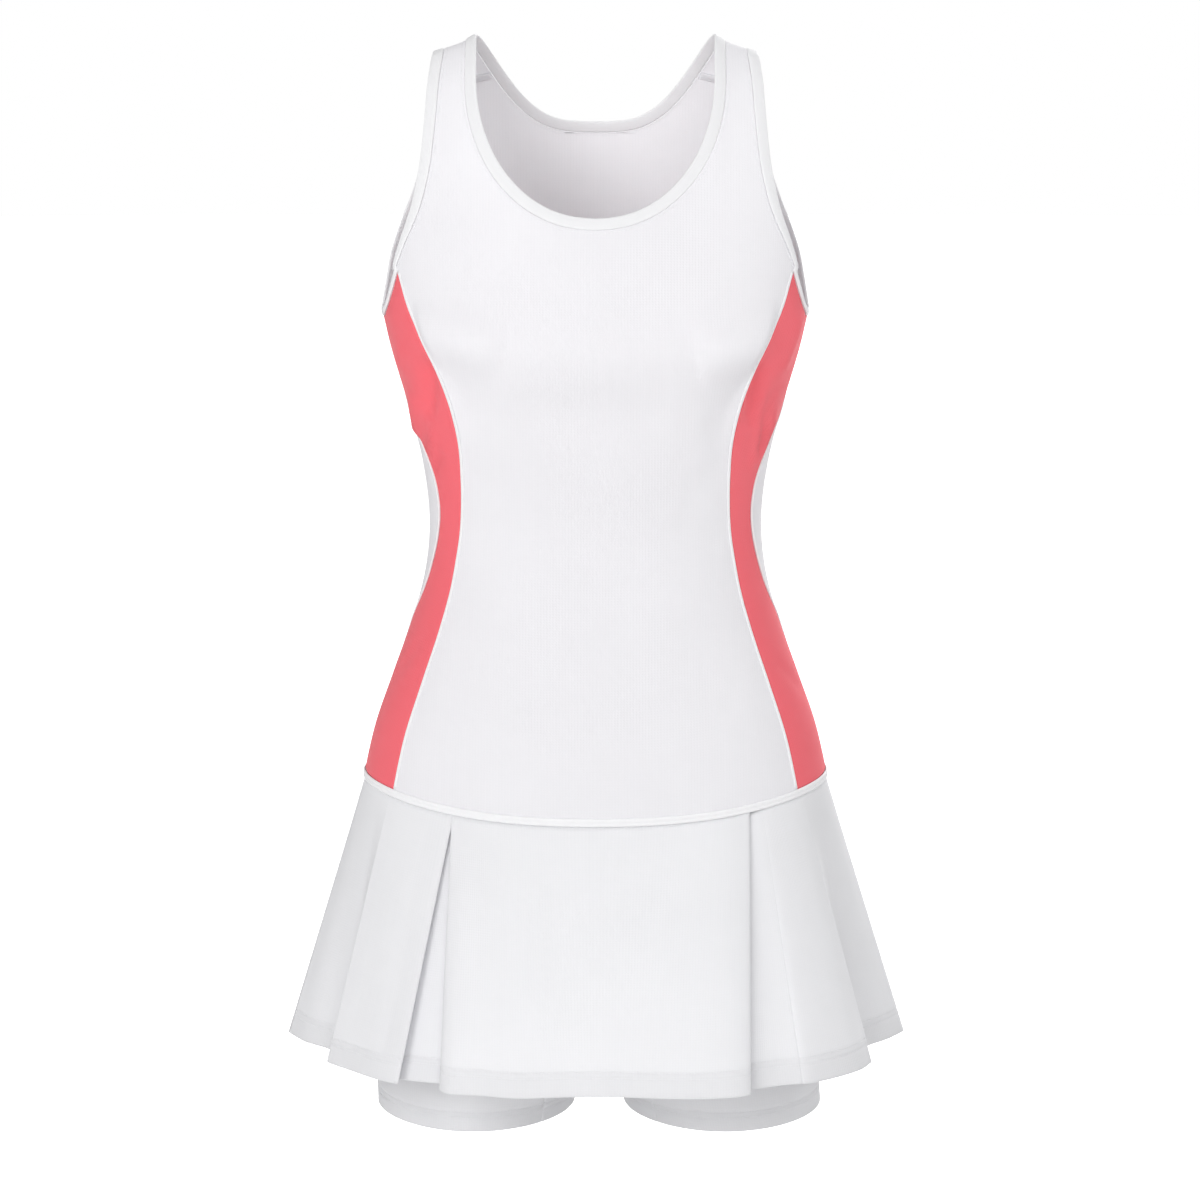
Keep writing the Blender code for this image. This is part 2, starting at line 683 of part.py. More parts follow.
def shorts(name, side, leg_centre):
    """Half of the inner shorts: half of the seat and one leg, sewn up inside."""
    columns = SHORTS_COLUMNS
    heights = [HIP_SIDE, *SHORTS_ROWS, CROTCH, LEG_ROW]
    heights += [LEG_HEM + LEG_FOLD, LEG_HEM + LEG_FOLD - 1, LEG_HEM]

    def centre_line(share, z):
        turn = 2 * math.pi * share
        pelvis = max(z, CROTCH)
        wide, front, back = (along(SHORTS, pelvis, column) for column in (1, 2, 3))
        x, y = ring(180 * share, wide, front, back)
        deep = (SHORTS[0][0] - pelvis) / (SHORTS[0][0] - CROTCH)
        down = max(0.0, (CROTCH - z) / (CROTCH - LEG_HEM))
        centre = wide / 2 + (leg_centre - wide / 2) * down
        half = wide / 2 + (LEG_HALF_WIDTH - wide / 2) * down
        leg_x = centre - half * math.cos(turn)
        leg_y = LEG_BACK_SHIFT - LEG_HALF_DEPTH * math.sin(turn)
        mix = deep**CROTCH_SHARPNESS
        rise = LEG_SIDE_RISE * down * math.cos(turn) ** 2
        return Vector((x + (leg_x - x) * mix, y + (leg_y - y) * mix, z + rise))

    def place(column, row):
        share = column / columns
        z = heights[int(row)]
        point = centre_line(share, z)
        if row == 0:
            point = hip_ring(180 * share, SHORTS_DEPTH, BAND_HALF_HEIGHT + SEAM_GAP)
        ahead = centre_line(min(1.0, share + 0.01), z) - centre_line(max(0.0, share - 0.01), z)
        normal = Vector((ahead.y, -ahead.x, 0)).normalized()
        inside = WALL + (HEM_EXTRA if row >= len(heights) - 2 else 0)
        ends = []
        for end in (point, point - normal * inside):
            end = end.copy()
            end.x = max(end.x, SEAM_GAP / 2)
            if column in (0, columns) and z < CROTCH + 1:
                end.y += (-1 if column == 0 else 1) * SEAM_GAP / 2
            ends.append(Vector((side * end.x, end.y, end.z)))
        return ends

    return wall(name, columns, len(heights) - 1, place, WHITE_WEAVE)


def main():
    for item in list(bpy.data.objects):
        bpy.data.objects.remove(item)
    bodice("bodice_front", back=False)
    bodice("bodice_back", back=True)
    neck_binding()
    for word, side in (("left", -1), ("right", 1)):
        side_panel(f"side_panel_{word}", side)
        armhole_binding(f"armhole_binding_{word}", side)
        shorts(f"shorts_{word}", side, LEG_CENTRES[word])
    hip_band()
    skirt("skirt_front", SKIRT_FRONT)
    skirt("skirt_back", SKIRT_BACK)


main()
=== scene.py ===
"""Sleeveless tennis dress: thin cloth panels with their creases, bindings, piping,
pleats and stitching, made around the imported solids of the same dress.

Up is +Z and the front faces -Y. Tables are in millimetres and degrees, and the
meshes are in metres.
"""

import bisect
import math

import bmesh
import bpy
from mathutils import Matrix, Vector


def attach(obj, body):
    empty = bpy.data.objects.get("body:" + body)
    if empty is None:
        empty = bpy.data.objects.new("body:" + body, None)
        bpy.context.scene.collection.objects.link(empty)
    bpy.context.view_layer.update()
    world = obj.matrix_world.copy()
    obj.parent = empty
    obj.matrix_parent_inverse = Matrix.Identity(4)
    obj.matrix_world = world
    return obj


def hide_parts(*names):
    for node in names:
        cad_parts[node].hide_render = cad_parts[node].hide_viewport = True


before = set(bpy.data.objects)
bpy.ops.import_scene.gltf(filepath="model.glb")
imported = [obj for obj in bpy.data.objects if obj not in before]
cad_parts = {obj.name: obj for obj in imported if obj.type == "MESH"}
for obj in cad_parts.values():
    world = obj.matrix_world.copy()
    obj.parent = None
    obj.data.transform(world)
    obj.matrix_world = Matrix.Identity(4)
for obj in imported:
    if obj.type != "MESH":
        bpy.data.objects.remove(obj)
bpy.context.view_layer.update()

bl_info = {
    "name": "Tennis dress",
    "version": (1, 0, 0),
    "blender": (4, 5, 0),
    "location": "3D View > Sidebar > Dress",
    "description": "Makes the cloth, bindings and stitching of a sleeveless tennis dress",
    "category": "Object",
}

MM = 0.001
TINY = 1e-6                # m, closer than this two points of a mesh are one

# ---------------------------------------------------------------- body form

TORSO = (
    # height, half width, front depth, back depth
    (-215, 168.5, 113, 94),
    (-245, 161.5, 118, 88),
    (-290, 148.5, 108, 79),
    (-335, 137.4, 97, 71),
    (-380, 132.3, 89, 66),
    (-420, 135.5, 90, 72),
    (-460, 146.0, 96, 85),
    (-505, 162.0, 104, 98),
    (-550, 177.5, 111, 107),
    (-612, 191.0, 117, 115),
)
CHEST = TORSO[0][0]
ROUNDNESS = 2.3            # power of the rounded rings: 2 is an ellipse

ARCH = (
    # run (1 is the shoulder line), rise, depth as a share of the chest's
    (0.00, 0.000, -1.000),
    (0.20, 0.220, -0.900),
    (0.40, 0.430, -0.745),
    (0.60, 0.640, -0.590),
    (0.80, 0.850, -0.370),
    (0.92, 0.965, -0.165),
    (1.00, 1.000, 0.000),
    (1.10, 0.955, 0.270),
    (1.22, 0.850, 0.540),
    (1.40, 0.660, 0.800),
    (1.60, 0.440, 0.950),
    (1.80, 0.220, 1.005),
    (2.00, 0.000, 1.000),
)
SHOULDER_LINE = (
    # distance from the centre, height: it stands up at the neck and falls outward
    (0, 11.5), (20, 11.4), (60, 7.5), (94, 0.0), (105, -5.5), (121, -11.0),
    (132, -14.5), (170, -27.0),
)
SHOULDER_SEAM_RUN = 1.215

NECK_HALF_WIDTH = 101.8
FRONT_NECK = {
    "lowest": 0.295, "straight": 0.88, "width_power": 2.15, "drop_power": 2.15, "crowding": 1.0,
}
BACK_NECK = {
    "lowest": 0.606, "straight": 1.0, "width_power": 3.05, "drop_power": 0.8, "crowding": 1.4,
}

ARMHOLE = (
    # rise, front half width, back half width
    (0.172, 156.2, 163.0),
    (0.200, 154.6, 161.8),
    (0.230, 152.4, 159.9),
    (0.290, 147.4, 155.0),
    (0.350, 141.6, 149.3),
    (0.420, 135.8, 142.4),
    (0.510, 130.8, 135.2),
    (0.610, 127.1, 129.2),
    (0.770, 123.8, 123.2),
    (0.890, 121.8, 120.5),
    (1.000, 118.5, 118.5),
)
CORNER_RISE = ARMHOLE[0][0]  # where the side panel's top corners meet the armhole
UNDERARM = -219.0            # lowest point of the armhole
UNDERARM_POWER = 2.2         # how round the armhole is under the arm
NECK_MIDDLE = Vector((0, 0, -40))
ARM_MIDDLE = Vector((230, 0, -100))

SIDE_SEAMS = (
    # height, front seam's angle, back seam's angle, from the centre front
    (-182, 64.5, 105.7),
    (-193, 61.8, 105.8),
    (-205, 59.0, 105.6),
    (-216, 56.0, 104.8),
    (-232, 53.5, 102.4),
    (-256, 49.2, 97.4),
    (-285, 46.6, 89.0),
    (-312, 46.2, 76.4),
    (-340, 47.9, 67.6),
    (-365, 49.7, 65.6),
    (-385, 51.1, 67.3),
    (-410, 52.9, 71.9),
    (-440, 53.9, 79.5),
    (-470, 54.8, 92.0),
    (-520, 55.9, 101.0),
    (-600, 57.0, 106.0),
)

HIP_SIDE = -585.5
HIP_FRONT_DIP = 21.0
HIP_BACK_DIP = 6.0
BAND_HALF_HEIGHT = 2.6
SEAM_GAP = 0.3

HEM_HEIGHT = -805.0
LAYER_DEPTH = 1.7          # mm between the cloth layers inside a pleat at the hip seam
SKIRT_FRONT = (
    # hem x, hem y, angle at the hip seam, cloth layers in front of it there
    (-251, 12, -92, 0), (-235, -20, -82, 0), (-215, -43, -71, 0),
    (-204, -63, -64, 0), (-211.2, -81.5, -59.3, 0), (-212.8, -85, -58.6, 0),
    (-210.8, -88.6, -57.9, 0), (-194.5, -109, -52, 0),
    (-170, -139, -43, 0), (-153, -152, -34.0, 0),
    (-153.5, -148, -34.0, 1), (-168, -138, -40, 1),
    (-165, -134.5, -40, 2), (-138, -145, -33, 2), (-107, -157, -27, 2),
    (-106, -162, -27, 1), (-119, -166.5, -32.5, 1),
    (-120.4, -171, -32.5, 0), (-111, -183.5, -30, 0), (-92, -186.2, -25.5, 0),
    (-59, -195.5, -17, 0), (-20, -191.6, -6, 0), (18, -191.6, 5, 0),
    (50, -196, 15, 0), (82, -197, 25, 0), (108, -192, 33, 0),
    (119.2, -184, 36.8, 0),
    (118.5, -179.5, 36.8, 1), (102, -173, 31, 1),
    (102, -168, 31, 2), (121, -168, 37.3, 2), (143, -157, 38.6, 1.2),
    (155, -153, 40, 0.4), (159.8, -151.9, 41.2, 0.24),
    (161, -151.0, 41.5, 0.2), (162.2, -151.3, 41.8, 0.16), (167, -150, 43, 0),
    (187, -134, 49, 0), (209.5, -108, 55, 0), (217.3, -89.5, 58.2, 0),
    (218.9, -85.5, 59, 0), (216.9, -81.0, 59.8, 0), (208, -57, 65, 0),
    (219, -34, 73, 0), (237, -11, 83, 0), (252.5, 16, 92, 0),
)
SKIRT_BACK = (
    (252.5, 16, 92, 0), (240, 42, 101, 0), (215, 62, 112, 0),
    (219, 87, 121, 0), (195, 113, 129, 0), (168, 139, 137, 0),
    (152, 151, 146, 0),
    (152.5, 147, 146, 1), (167, 137, 140, 1),
    (164, 133.5, 140, 2), (137, 144, 147, 2), (107, 155, 153, 2),
    (106, 160, 153, 1), (119, 164.5, 147.5, 1),
    (120, 168.5, 147.5, 0), (110, 179, 150, 0), (88, 184, 155, 0),
    (54, 189, 164, 0), (8, 185, 178, 0), (-46, 188, 192, 0),
    (-86, 185, 204.5, 0), (-109, 180, 210, 0), (-119, 169, 212.5, 0),
    (-118, 165, 212.5, 1), (-105, 161, 207, 1),
    (-106, 156, 207, 2), (-136, 145, 213, 2), (-163, 135, 220, 2),
    (-166, 138.5, 220, 1), (-151.5, 148, 214, 1),
    (-151, 152, 214, 0), (-170, 139, 223, 0), (-196, 111, 231, 0),
    (-215, 87, 239, 0), (-211, 61, 248, 0), (-238, 38, 259, 0),
    (-251, 12, 268, 0),
)

SHORTS = (
    # height, half width, front depth, back depth
    (-584, 178.0, 106, 104),
    (-640, 181.0, 106, 108),
    (-700, 181.0, 101, 108),
    (-772, 178.0, 90, 96),
)
SHORTS_TOP = (
    # mm inside the hip band, mm below the hip seam: the shorts' last rows, up to the seam
    (8.3, BAND_HALF_HEIGHT + SEAM_GAP), (6.0, 2.2), (3.6, 1.5), (1.6, 0.8),
)
CROTCH = -772.0
LEG_HEM = -861.0
LEG_CENTRES = {"left": 97.0, "right": 103.0}
LEG_HALF_WIDTH = 80.0
LEG_HALF_DEPTH = 90.0
LEG_BACK_SHIFT = 2.0
LEG_SIDE_RISE = 3.6        # how much higher the leg hem is at the sides than in front

# ------------------------------------------------------------ cloth details

EDGE_STEPS = (0.0, 0.35, 0.8, 1.4, 2.2, 3.4)   # mm from a sewn edge to the mesh lines near it
ROLL_WIDTH = 1.5           # mm over which a sewn edge turns inward
ROLL_DEPTH = 0.24          # mm
CREASE_END = 12.0          # mm over which a crease fades at a side seam
CREASE_REACH = 3           # half widths from its line beyond which a crease isn't felt
SIDE_ROLL_DEPTH = 0.7      # the coral edges turn in deeper, beside their piping

# Creases: from one point to another, half width, height (below 0 is a trough).
# Points are (x, height) in mm on the front and back panels.
FRONT_CREASES = (
    (-154, -222, -70, -239, 20, 8.0),
    (-140, -266, -76, -282, 26, -1.8),
    (-128, -262, -70, -302, 20, -1.8),
    (158, -229, 76, -247, 22, 8.4),
    (144, -278, 84, -294, 28, -2.0),
    (-72, -286, 60, -294, 28, -3.0),
    (-142, -262, -80, -318, 13, -0.9),
    (142, -256, 84, -322, 14, -1.1),
    (-118, -330, -60, -352, 12, -0.8),
    (120, -325, 66, -356, 13, -1.0),
    (-104, -392, -62, -372, 9, -0.7),
    (105, -398, 58, -374, 10, -0.8),
    (-98, -420, -30, -452, 16, 0.7),
    (92, -430, 20, -470, 18, 0.8),
    (-120, -515, -70, -470, 16, -0.7),
    (118, -520, 66, -478, 17, -0.8),
)
BACK_CREASES = (
    (-120, -345, -30, -372, 13, -1.4),
    (118, -352, 36, -384, 14, -1.3),
    (-112, -392, -20, -398, 12, -1.3),
    (110, -404, 18, -412, 13, -1.2),
    (-118, -262, -66, -300, 16, -1.0),
    (116, -250, 72, -296, 16, -1.0),
    (-96, -436, -30, -424, 12, 0.9),
    (98, -446, 26, -430, 12, 0.9),
)
# Points are (angle from the centre front, height) on the side panels.
LEFT_CREASES = (
    (50, -246, 62, -296, 4.6, -7.1),
    (70, -276, 80, -318, 4.0, 3.7),
    (58, -306, 70, -326, 2.4, 2.9),
    (56, -322, 66, -342, 2.2, -2.3),
    (66, -236, 78, -262, 5.0, 1.9),
    (64, -470, 80, -512, 4.5, -1.2),
)
RIGHT_CREASES = (
    (49, -244, 56, -302, 4.6, -7.4),
    (72, -214, 64, -266, 5.0, 3.4),
    (72, -292, 66, -332, 2.6, 3.4),
    (60, -300, 63, -336, 2.6, 3.1),
    (64, -270, 64, -330, 2.6, -2.8),
    (62, -486, 82, -520, 4.5, -1.2),
)


def stretch_at(lengths, goal):
    """Which stretch of a line holds a distance, and the share of it passed there."""
    n = min(len(lengths) - 2, max(0, bisect.bisect_left(lengths, goal) - 1))
    return n, (goal - lengths[n]) / max(1e-9, lengths[n + 1] - lengths[n])


def along(rows, key, column):
    """Read a table's column at a key, on a smooth curve through the rows."""
    up = rows if rows[0][0] < rows[-1][0] else rows[::-1]
    key = min(max(key, up[0][0]), up[-1][0])
    i, t = stretch_at([row[0] for row in up], key)
    span = up[i + 1][0] - up[i][0]

    def slope(n):
        before, after = max(n - 1, 0), min(n + 1, len(up) - 1)
        return (up[after][column] - up[before][column]) / (up[after][0] - up[before][0])

    a, b = up[i][column], up[i + 1][column]
    m0, m1 = slope(i) * span, slope(i + 1) * span
    return (
        a * (2 * t**3 - 3 * t**2 + 1)
        + m0 * (t**3 - 2 * t**2 + t)
        + b * (3 * t**2 - 2 * t**3)
        + m1 * (t**3 - t**2)
    )


def rounded(value):
    """Signed power that turns a sine or cosine into a rounded ring's."""
    return math.copysign(abs(value) ** (2 / ROUNDNESS), value)


def angle_at(x, half_width):
    """Angle from the centre line at which a ring has this x."""
    return math.degrees(math.asin(min(1.0, (abs(x) / half_width) ** (ROUNDNESS / 2))))


def ring(angle, half_width, front, back):
    """Point of a rounded ring, in plan."""
    turn = math.radians(angle)
    depth = front if math.cos(turn) > 0 else back
    return half_width * rounded(math.sin(turn)), -depth * rounded(math.cos(turn))


def shoulder_height(x):
    """Height of the shoulder line, which falls away from the neck."""
    return along(SHOULDER_LINE, abs(x), 1)


def arch_point(angle, run):
    """Point above the chest: angle on the chest's ring, run over the shoulder."""
    half_width, front, back = TORSO[0][1:]
    turn = math.radians(angle)
    x = half_width * rounded(math.sin(turn))
    share = along(ARCH, run, 2)
    y = share * (front if share < 0 else back) * rounded(abs(math.cos(turn)))
    z = CHEST + along(ARCH, run, 1) * (shoulder_height(x) - CHEST)
    return Vector((x, y, z))


def run_at(rise, back=False):
    """Run at which the arch reaches this rise, on the front or the back."""
    low, high = (1.0, 2.0) if back else (0.0, 1.0)
    for _ in range(30):
        middle = (low + high) / 2
        if (along(ARCH, middle, 1) < rise) != back:
            low = middle
        else:
            high = middle
    return low


def body_point(angle, z):
    """Point of the bodice's outer surface at an angle and height."""
    if z <= CHEST:
        x, y = ring(angle, *(along(TORSO, z, column) for column in (1, 2, 3)))
        return Vector((x, y, z))
    half_width = TORSO[0][1]
    x = half_width * rounded(math.sin(math.radians(angle)))
    rise = (z - CHEST) / (shoulder_height(x) - CHEST)
    return arch_point(angle, run_at(rise, math.cos(math.radians(angle)) < 0))


def hip_height(angle):
    """Height of the hip seam, which dips at the centre front and back."""
    level = math.cos(math.radians(angle))
    return HIP_SIDE - (HIP_FRONT_DIP if level > 0 else HIP_BACK_DIP) * level * level


def panel_bottom(angle):
    return hip_height(angle) + BAND_HALF_HEIGHT + SEAM_GAP


def with_normal(surface, u, v, step_u, step_v):
    """Point of a surface and its normal, turned away from the body's middle."""
    point = surface(u, v)
    across = surface(u + step_u, v) - surface(u - step_u, v)
    up = surface(u, v + step_v) - surface(u, v - step_v)
    normal = across.cross(up).normalized()
    outward = Vector((point.x, point.y, max(0.0, point.z - CHEST)))
    return point, normal if normal.dot(outward) > 0 else -normal


def on_body(angle, z):
    return with_normal(body_point, angle, z, 0.5, 0.5)


def on_arch(angle, run):
    return with_normal(arch_point, angle, run, 0.5, 0.002)


def neck_width(run):
    """Half width of the neck seam line where it crosses this run."""
    neck = FRONT_NECK if run < 1 else BACK_NECK
    rise = along(ARCH, run, 1)
    drop = (neck["straight"] - rise) / (neck["straight"] - neck["lowest"])
    if drop <= 0:
        return NECK_HALF_WIDTH
    share = max(0.0, 1 - drop ** neck["drop_power"])
    return NECK_HALF_WIDTH * share ** (1 / neck["width_power"])


def armhole_width(run):
    """Half width of the armhole seam line where it crosses this run."""
    return along(ARMHOLE, along(ARCH, run, 1), 1 if run < 1 else 2)


def neck_runs(back, count):
    """Runs of the neck seam from its lowest point up, close together at the bottom."""
    neck = BACK_NECK if back else FRONT_NECK
    runs = []
    for step in range(count + 1):
        turn = math.radians(90 * (step / count) ** neck["crowding"])
        drop = math.cos(turn) ** (2 / neck["drop_power"])
        runs.append(run_at(neck["straight"] - (neck["straight"] - neck["lowest"]) * drop, back))
    return runs


def seam_angle(back, share):
    """Height and angle of a side seam: 0 at the hip, 1 at the chest, 2 at the corner."""
    column = 2 if back else 1
    angle = 100.0 if back else 50.0
    z = 0.0
    for _ in range(8):
        if share <= 1:
            bottom = panel_bottom(angle)
            z = bottom + (CHEST - bottom) * share
        else:
            x = TORSO[0][1] * rounded(math.sin(math.radians(angle)))
            z = CHEST + (share - 1) * CORNER_RISE * (shoulder_height(x) - CHEST)
        angle = along(SIDE_SEAMS, z, column)
    return z, angle


def dip(share):
    """How far the underarm edge has fallen between its corners, from 0 to 1."""
    return 1 - abs(2 * share - 1) ** UNDERARM_POWER


def smooth(value):
    """Smooth step from 0 to 1."""
    value = min(1.0, max(0.0, value))
    return value * value * (3 - 2 * value)


def creased(creases, a, b):
    """Height that the creases give a point."""
    total = 0.0
    for a1, b1, a2, b2, width, height in creases:
        run_a, run_b = a2 - a1, b2 - b1
        share = ((a - a1) * run_a + (b - b1) * run_b) / (run_a**2 + run_b**2)
        share = min(1.0, max(0.0, share))
        apart = (a - a1 - run_a * share) ** 2 + (b - b1 - run_b * share) ** 2
        if apart < (CREASE_REACH * width) ** 2:
            taper = 1 - (2 * share - 1) ** 4
            total += height * taper * math.exp(-apart / (width * width))
    return total


def rolled(distance, depth=ROLL_DEPTH):
    """How deep a sewn edge has turned inward at this distance from it."""
    return depth * (1 - smooth(distance / ROLL_WIDTH)) if distance < ROLL_WIDTH else 0.0


def spaced(low, high, count, low_edge=True, high_edge=True):
    """Positions from low to high, close together at an edge that is turned inward."""
    start = list(EDGE_STEPS) if low_edge else [0.0]
    end = [high - low - step for step in reversed(EDGE_STEPS)] if high_edge else [high - low]
    middle = [start[-1] + (end[0] - start[-1]) * n / count for n in range(1, count)]
    return [low + step for step in start + middle + end]


# ---------------------------------------------------------------- materials


def srgb(code):
    """Linear colour of an sRGB hex value."""
    out = []
    for n in (1, 3, 5):
        value = int(code[n:n + 2], 16) / 255
        out.append(value / 12.92 if value <= 0.04045 else ((value + 0.055) / 1.055) ** 2.4)
    return (*out, 1.0)


def add_node(tree, kind, settings=None, sockets=None):
    """Add a node. A socket is given a value, or another node and its output's name."""
    node = tree.nodes.new("ShaderNode" + kind)
    for name, value in (settings or {}).items():
        setattr(node, name, value)
    for name, value in (sockets or {}).items():
        socket = node.inputs[name]
        if isinstance(value, tuple) and isinstance(value[0], bpy.types.Node):
            tree.links.new(value[0].outputs[value[1]], socket)
        else:
            socket.default_value = value
    return node


def math_node(tree, operation, *values):
    """Add a Math node. Each value is a number, or a node and its output's name."""
    return add_node(tree, "Math", {"operation": operation}, dict(enumerate(values)))


# ------------------------------------------------------------ mesh building


def lay(name, columns, rows, place, slit_from=None, closed=False, outward=True):
    """Cloth on a grid. place(column, row) gives a point and its place on the flat cloth.

    A panel is turned so that its face looks away from the body's middle line. A
    closed strip keeps the way round that its profile gives it.
    """
    bm = bmesh.new()
    bmesh.ops.create_grid(bm, x_segments=columns, y_segments=rows, size=0.5)
    for vert in bm.verts:
        vert.co.x = round((vert.co.x + 0.5) * columns)
        vert.co.y = round((vert.co.y + 0.5) * rows)
    if slit_from:
        middle = columns // 2
        cut = [
            edge
            for edge in bm.edges
            if all(v.co.x == middle and v.co.y >= slit_from for v in edge.verts)
        ]
        bmesh.ops.split_edges(bm, edges=cut)
        for vert in bm.verts:
            if vert.co.x == middle and vert.co.y > slit_from:
                side = sum(face.calc_center_median().x - middle for face in vert.link_faces)
                vert.co.x += math.copysign(0.01, side)
    flat = bm.loops.layers.uv.new("cloth")
    for vert in bm.verts:
        point, across, up = place(vert.co.x, round(vert.co.y))
        for loop in vert.link_loops:
            loop[flat].uv = (across * MM, up * MM)
        vert.co = Vector(point) * MM
    if closed:
        bmesh.ops.remove_doubles(bm, verts=bm.verts, dist=TINY)
    elif outward:
        bm.normal_update()
        facing = sum(
            face.normal.xy.dot(face.calc_center_median().xy) * face.calc_area()
            for face in bm.faces
        )
        if facing < 0:
            bmesh.ops.reverse_faces(bm, faces=bm.faces)
    return finished(name, bm)


def finished(name, bm):
    """Make the mesh an object at the origin."""
    mesh = bpy.data.meshes.new(name)
    bm.to_mesh(mesh)
    bm.free()
    mesh.shade_smooth()
    piece = bpy.data.objects.new(name, mesh)
    bpy.context.scene.collection.objects.link(piece)
    return piece


def lengths_along(points):
    """Distances of points from the first one, along the line through them."""
    lengths = [0.0]
    for here, there in zip(points, points[1:]):
        lengths.append(lengths[-1] + (Vector(there) - Vector(here)).length)
    return lengths


def evened(track, step, closed=False, hint=None):
    """Evenly spaced stations of a track: point, normal and the direction across it.

    Where a hint is given, that direction points to it.
    """
    lengths = lengths_along([point for point, _ in track])
    count = max(3, round(lengths[-1] / step))
    points, normals = [], []
    for k in range(count + 1):
        n, share = stretch_at(lengths, lengths[-1] * k / count)
        points.append(track[n][0].lerp(track[n + 1][0], share))
        normals.append(track[n][1].lerp(track[n + 1][1], share).normalized())
    stations = []
    for k, (point, normal) in enumerate(zip(points, normals)):
        before = points[k - 1] if k else points[-2 if closed else 0]
        after = points[k + 1] if k < count else points[1 if closed else -1]
        aside = normal.cross((after - before).normalized()).normalized()
        if hint is not None and aside.dot(hint - point) <= 0:
            aside = -aside
        stations.append((point, normal, aside))
    return stations


def ribbon(name, stations, profile, closed=False, widths=None):
    """Strip of cloth along the stations. The profile's corners are (across, outward)."""
    lengths = lengths_along([point for point, _, _ in stations])
    point, normal, aside = stations[0]
    crest = max(range(1, len(profile) - 1), key=lambda n: profile[n][1])
    onward = aside * (profile[crest + 1][0] - profile[crest - 1][0])
    if onward.cross(stations[1][0] - point).dot(normal) < 0:
        profile = profile[::-1]
    spans = lengths_along(profile)

    def place(column, row):
        point, normal, aside = stations[row]
        across, out = profile[round(column)]
        across *= widths[row] if widths else 1.0
        return point + aside * across + normal * out, spans[round(column)], lengths[row]

    return lay(name, len(profile) - 1, len(stations) - 1, place, closed=closed, outward=False)


def sew(bm, stations):
    """A row of stitches: thread that lies on the cloth and dips into it between stitches."""
    rows = len(stations) - 1
    made = bmesh.ops.create_grid(bm, x_segments=THREAD_SIDES, y_segments=rows, size=0.5)["verts"]
    for vert in made:
        turn = 2 * math.pi * (vert.co.x + 0.5)
        row = round((vert.co.y + 0.5) * rows)
        point, normal, aside = stations[row]
        high = THREAD * (0.35 if row % STITCH_STEPS else -0.8)
        radius = 0.0 if row in (0, rows) else THREAD / 2
        spot = point + normal * (high + radius * math.cos(turn)) + aside * radius * math.sin(turn)
        vert.co = spot * MM
    bmesh.ops.remove_doubles(bm, verts=made, dist=TINY)


THREAD = 0.42              # mm thick, a little more than real so that it shows
STITCH = 2.8               # mm long
STITCH_STEPS = 4
THREAD_SIDES = 5
BESIDE_SEAM = 2.5          # mm from a binding's seam to the stitches beside it
ALLOWANCE_ROWS = (         # mm behind the shoulder seam, mm that the edge stands up
    (0.2, 0.1), (0.9, 0.55), (2.0, 0.7), (3.2, 0.6), (4.4, 0.5), (5.2, 0.42), (5.6, 0.3),
)
ALLOWANCE = ALLOWANCE_ROWS[-1][0]
ALLOWANCE_STEPS = 24       # across a strap
OVERLOCKS = 30             # zigzags across a strap
OVERLOCK_DEPTH = 1.95      # mm from the strap's face in to the zigzag thread
OVERLOCK_BITE = 2.4        # mm that a zigzag reaches in from the raw edge
THREAD_SUNK = 0.28         # mm that a hem's thread sinks into the cloth

# ------------------------------------------------------------- bodice parts

MESH_STEP = 4.2            # mm between mesh lines away from the seams
RUN_LENGTH = 245.0         # mm of cloth for a run of 1
NECK_LINES = 26
NECK_HEIGHT = 228          # mm from the chest up to the straps
PANEL_COLUMNS = 40         # in half of a front or back panel, without those at its edges
SIDE_COLUMNS = 20
ARC_STEPS = 28             # steps in which a row's length is measured
SIDE_ARC_STEPS = 16
SIDE_TOP = 40              # mm of the side panels above the chest
SIDE_TOP_ROWS = 8
MEASURED_AT = 0.7          # share of a panel's half width at which its height is measured
SEAM_ENDS = (0.004, 1.994)  # where the piping starts and ends, as seam_angle counts
SEAM_STEPS = 180           # steps along a side seam, or along a leg's stitches
NECK_STEPS = (30, 12, 40)  # steps along the front neck, over the strap, along the back
ARM_STEPS = 44             # steps up one side of an armhole
UNDERARM_STEPS = 24


def low_shares(height):
    """Rows from the hip seam up, as shares of the height to the chest."""
    steps = spaced(0, height, round(height / MESH_STEP), high_edge=False)
    return [step / height for step in steps]


def runs_between(start, stop):
    """Rows over the shoulder, as runs, close together at the last."""
    length = abs(stop - start) * RUN_LENGTH
    steps = spaced(0, length, max(2, round(length / MESH_STEP)), low_edge=False)
    turn = 1 if stop > start else -1
    return [start + turn * step / RUN_LENGTH for step in steps]


def panel_rows(back):
    """Rows of a bodice panel: shares of the height to the chest, and runs above it."""
    low = low_shares(CHEST - panel_bottom(180 if back else 0))
    neck = neck_runs(back, NECK_LINES)
    runs = runs_between(2.0 if back else 0.0, neck[0])
    slit = len(low) + len(runs) - 2
    neck = [run for run in neck[1:] if not back or run > SHOULDER_SEAM_RUN + 0.05]
    return low, runs[1:] + neck + runs_between(neck[-1], SHOULDER_SEAM_RUN)[1:], slit


def neck_distance(x, run):
    """About how many mm a point is from the neck seam."""
    neck = FRONT_NECK if run < 1 else BACK_NECK
    across, down = neck["width_power"], neck["drop_power"]
    reach = neck["straight"] - neck["lowest"]
    drop = max(1e-3, (neck["straight"] - along(ARCH, run, 1)) / reach)
    wide = abs(x) / NECK_HALF_WIDTH
    slope_x = across * wide ** (across - 1) / NECK_HALF_WIDTH
    slope_z = down * drop ** (down - 1) / (reach * NECK_HEIGHT)
    return (wide**across + drop**down - 1) / math.hypot(slope_x, slope_z)


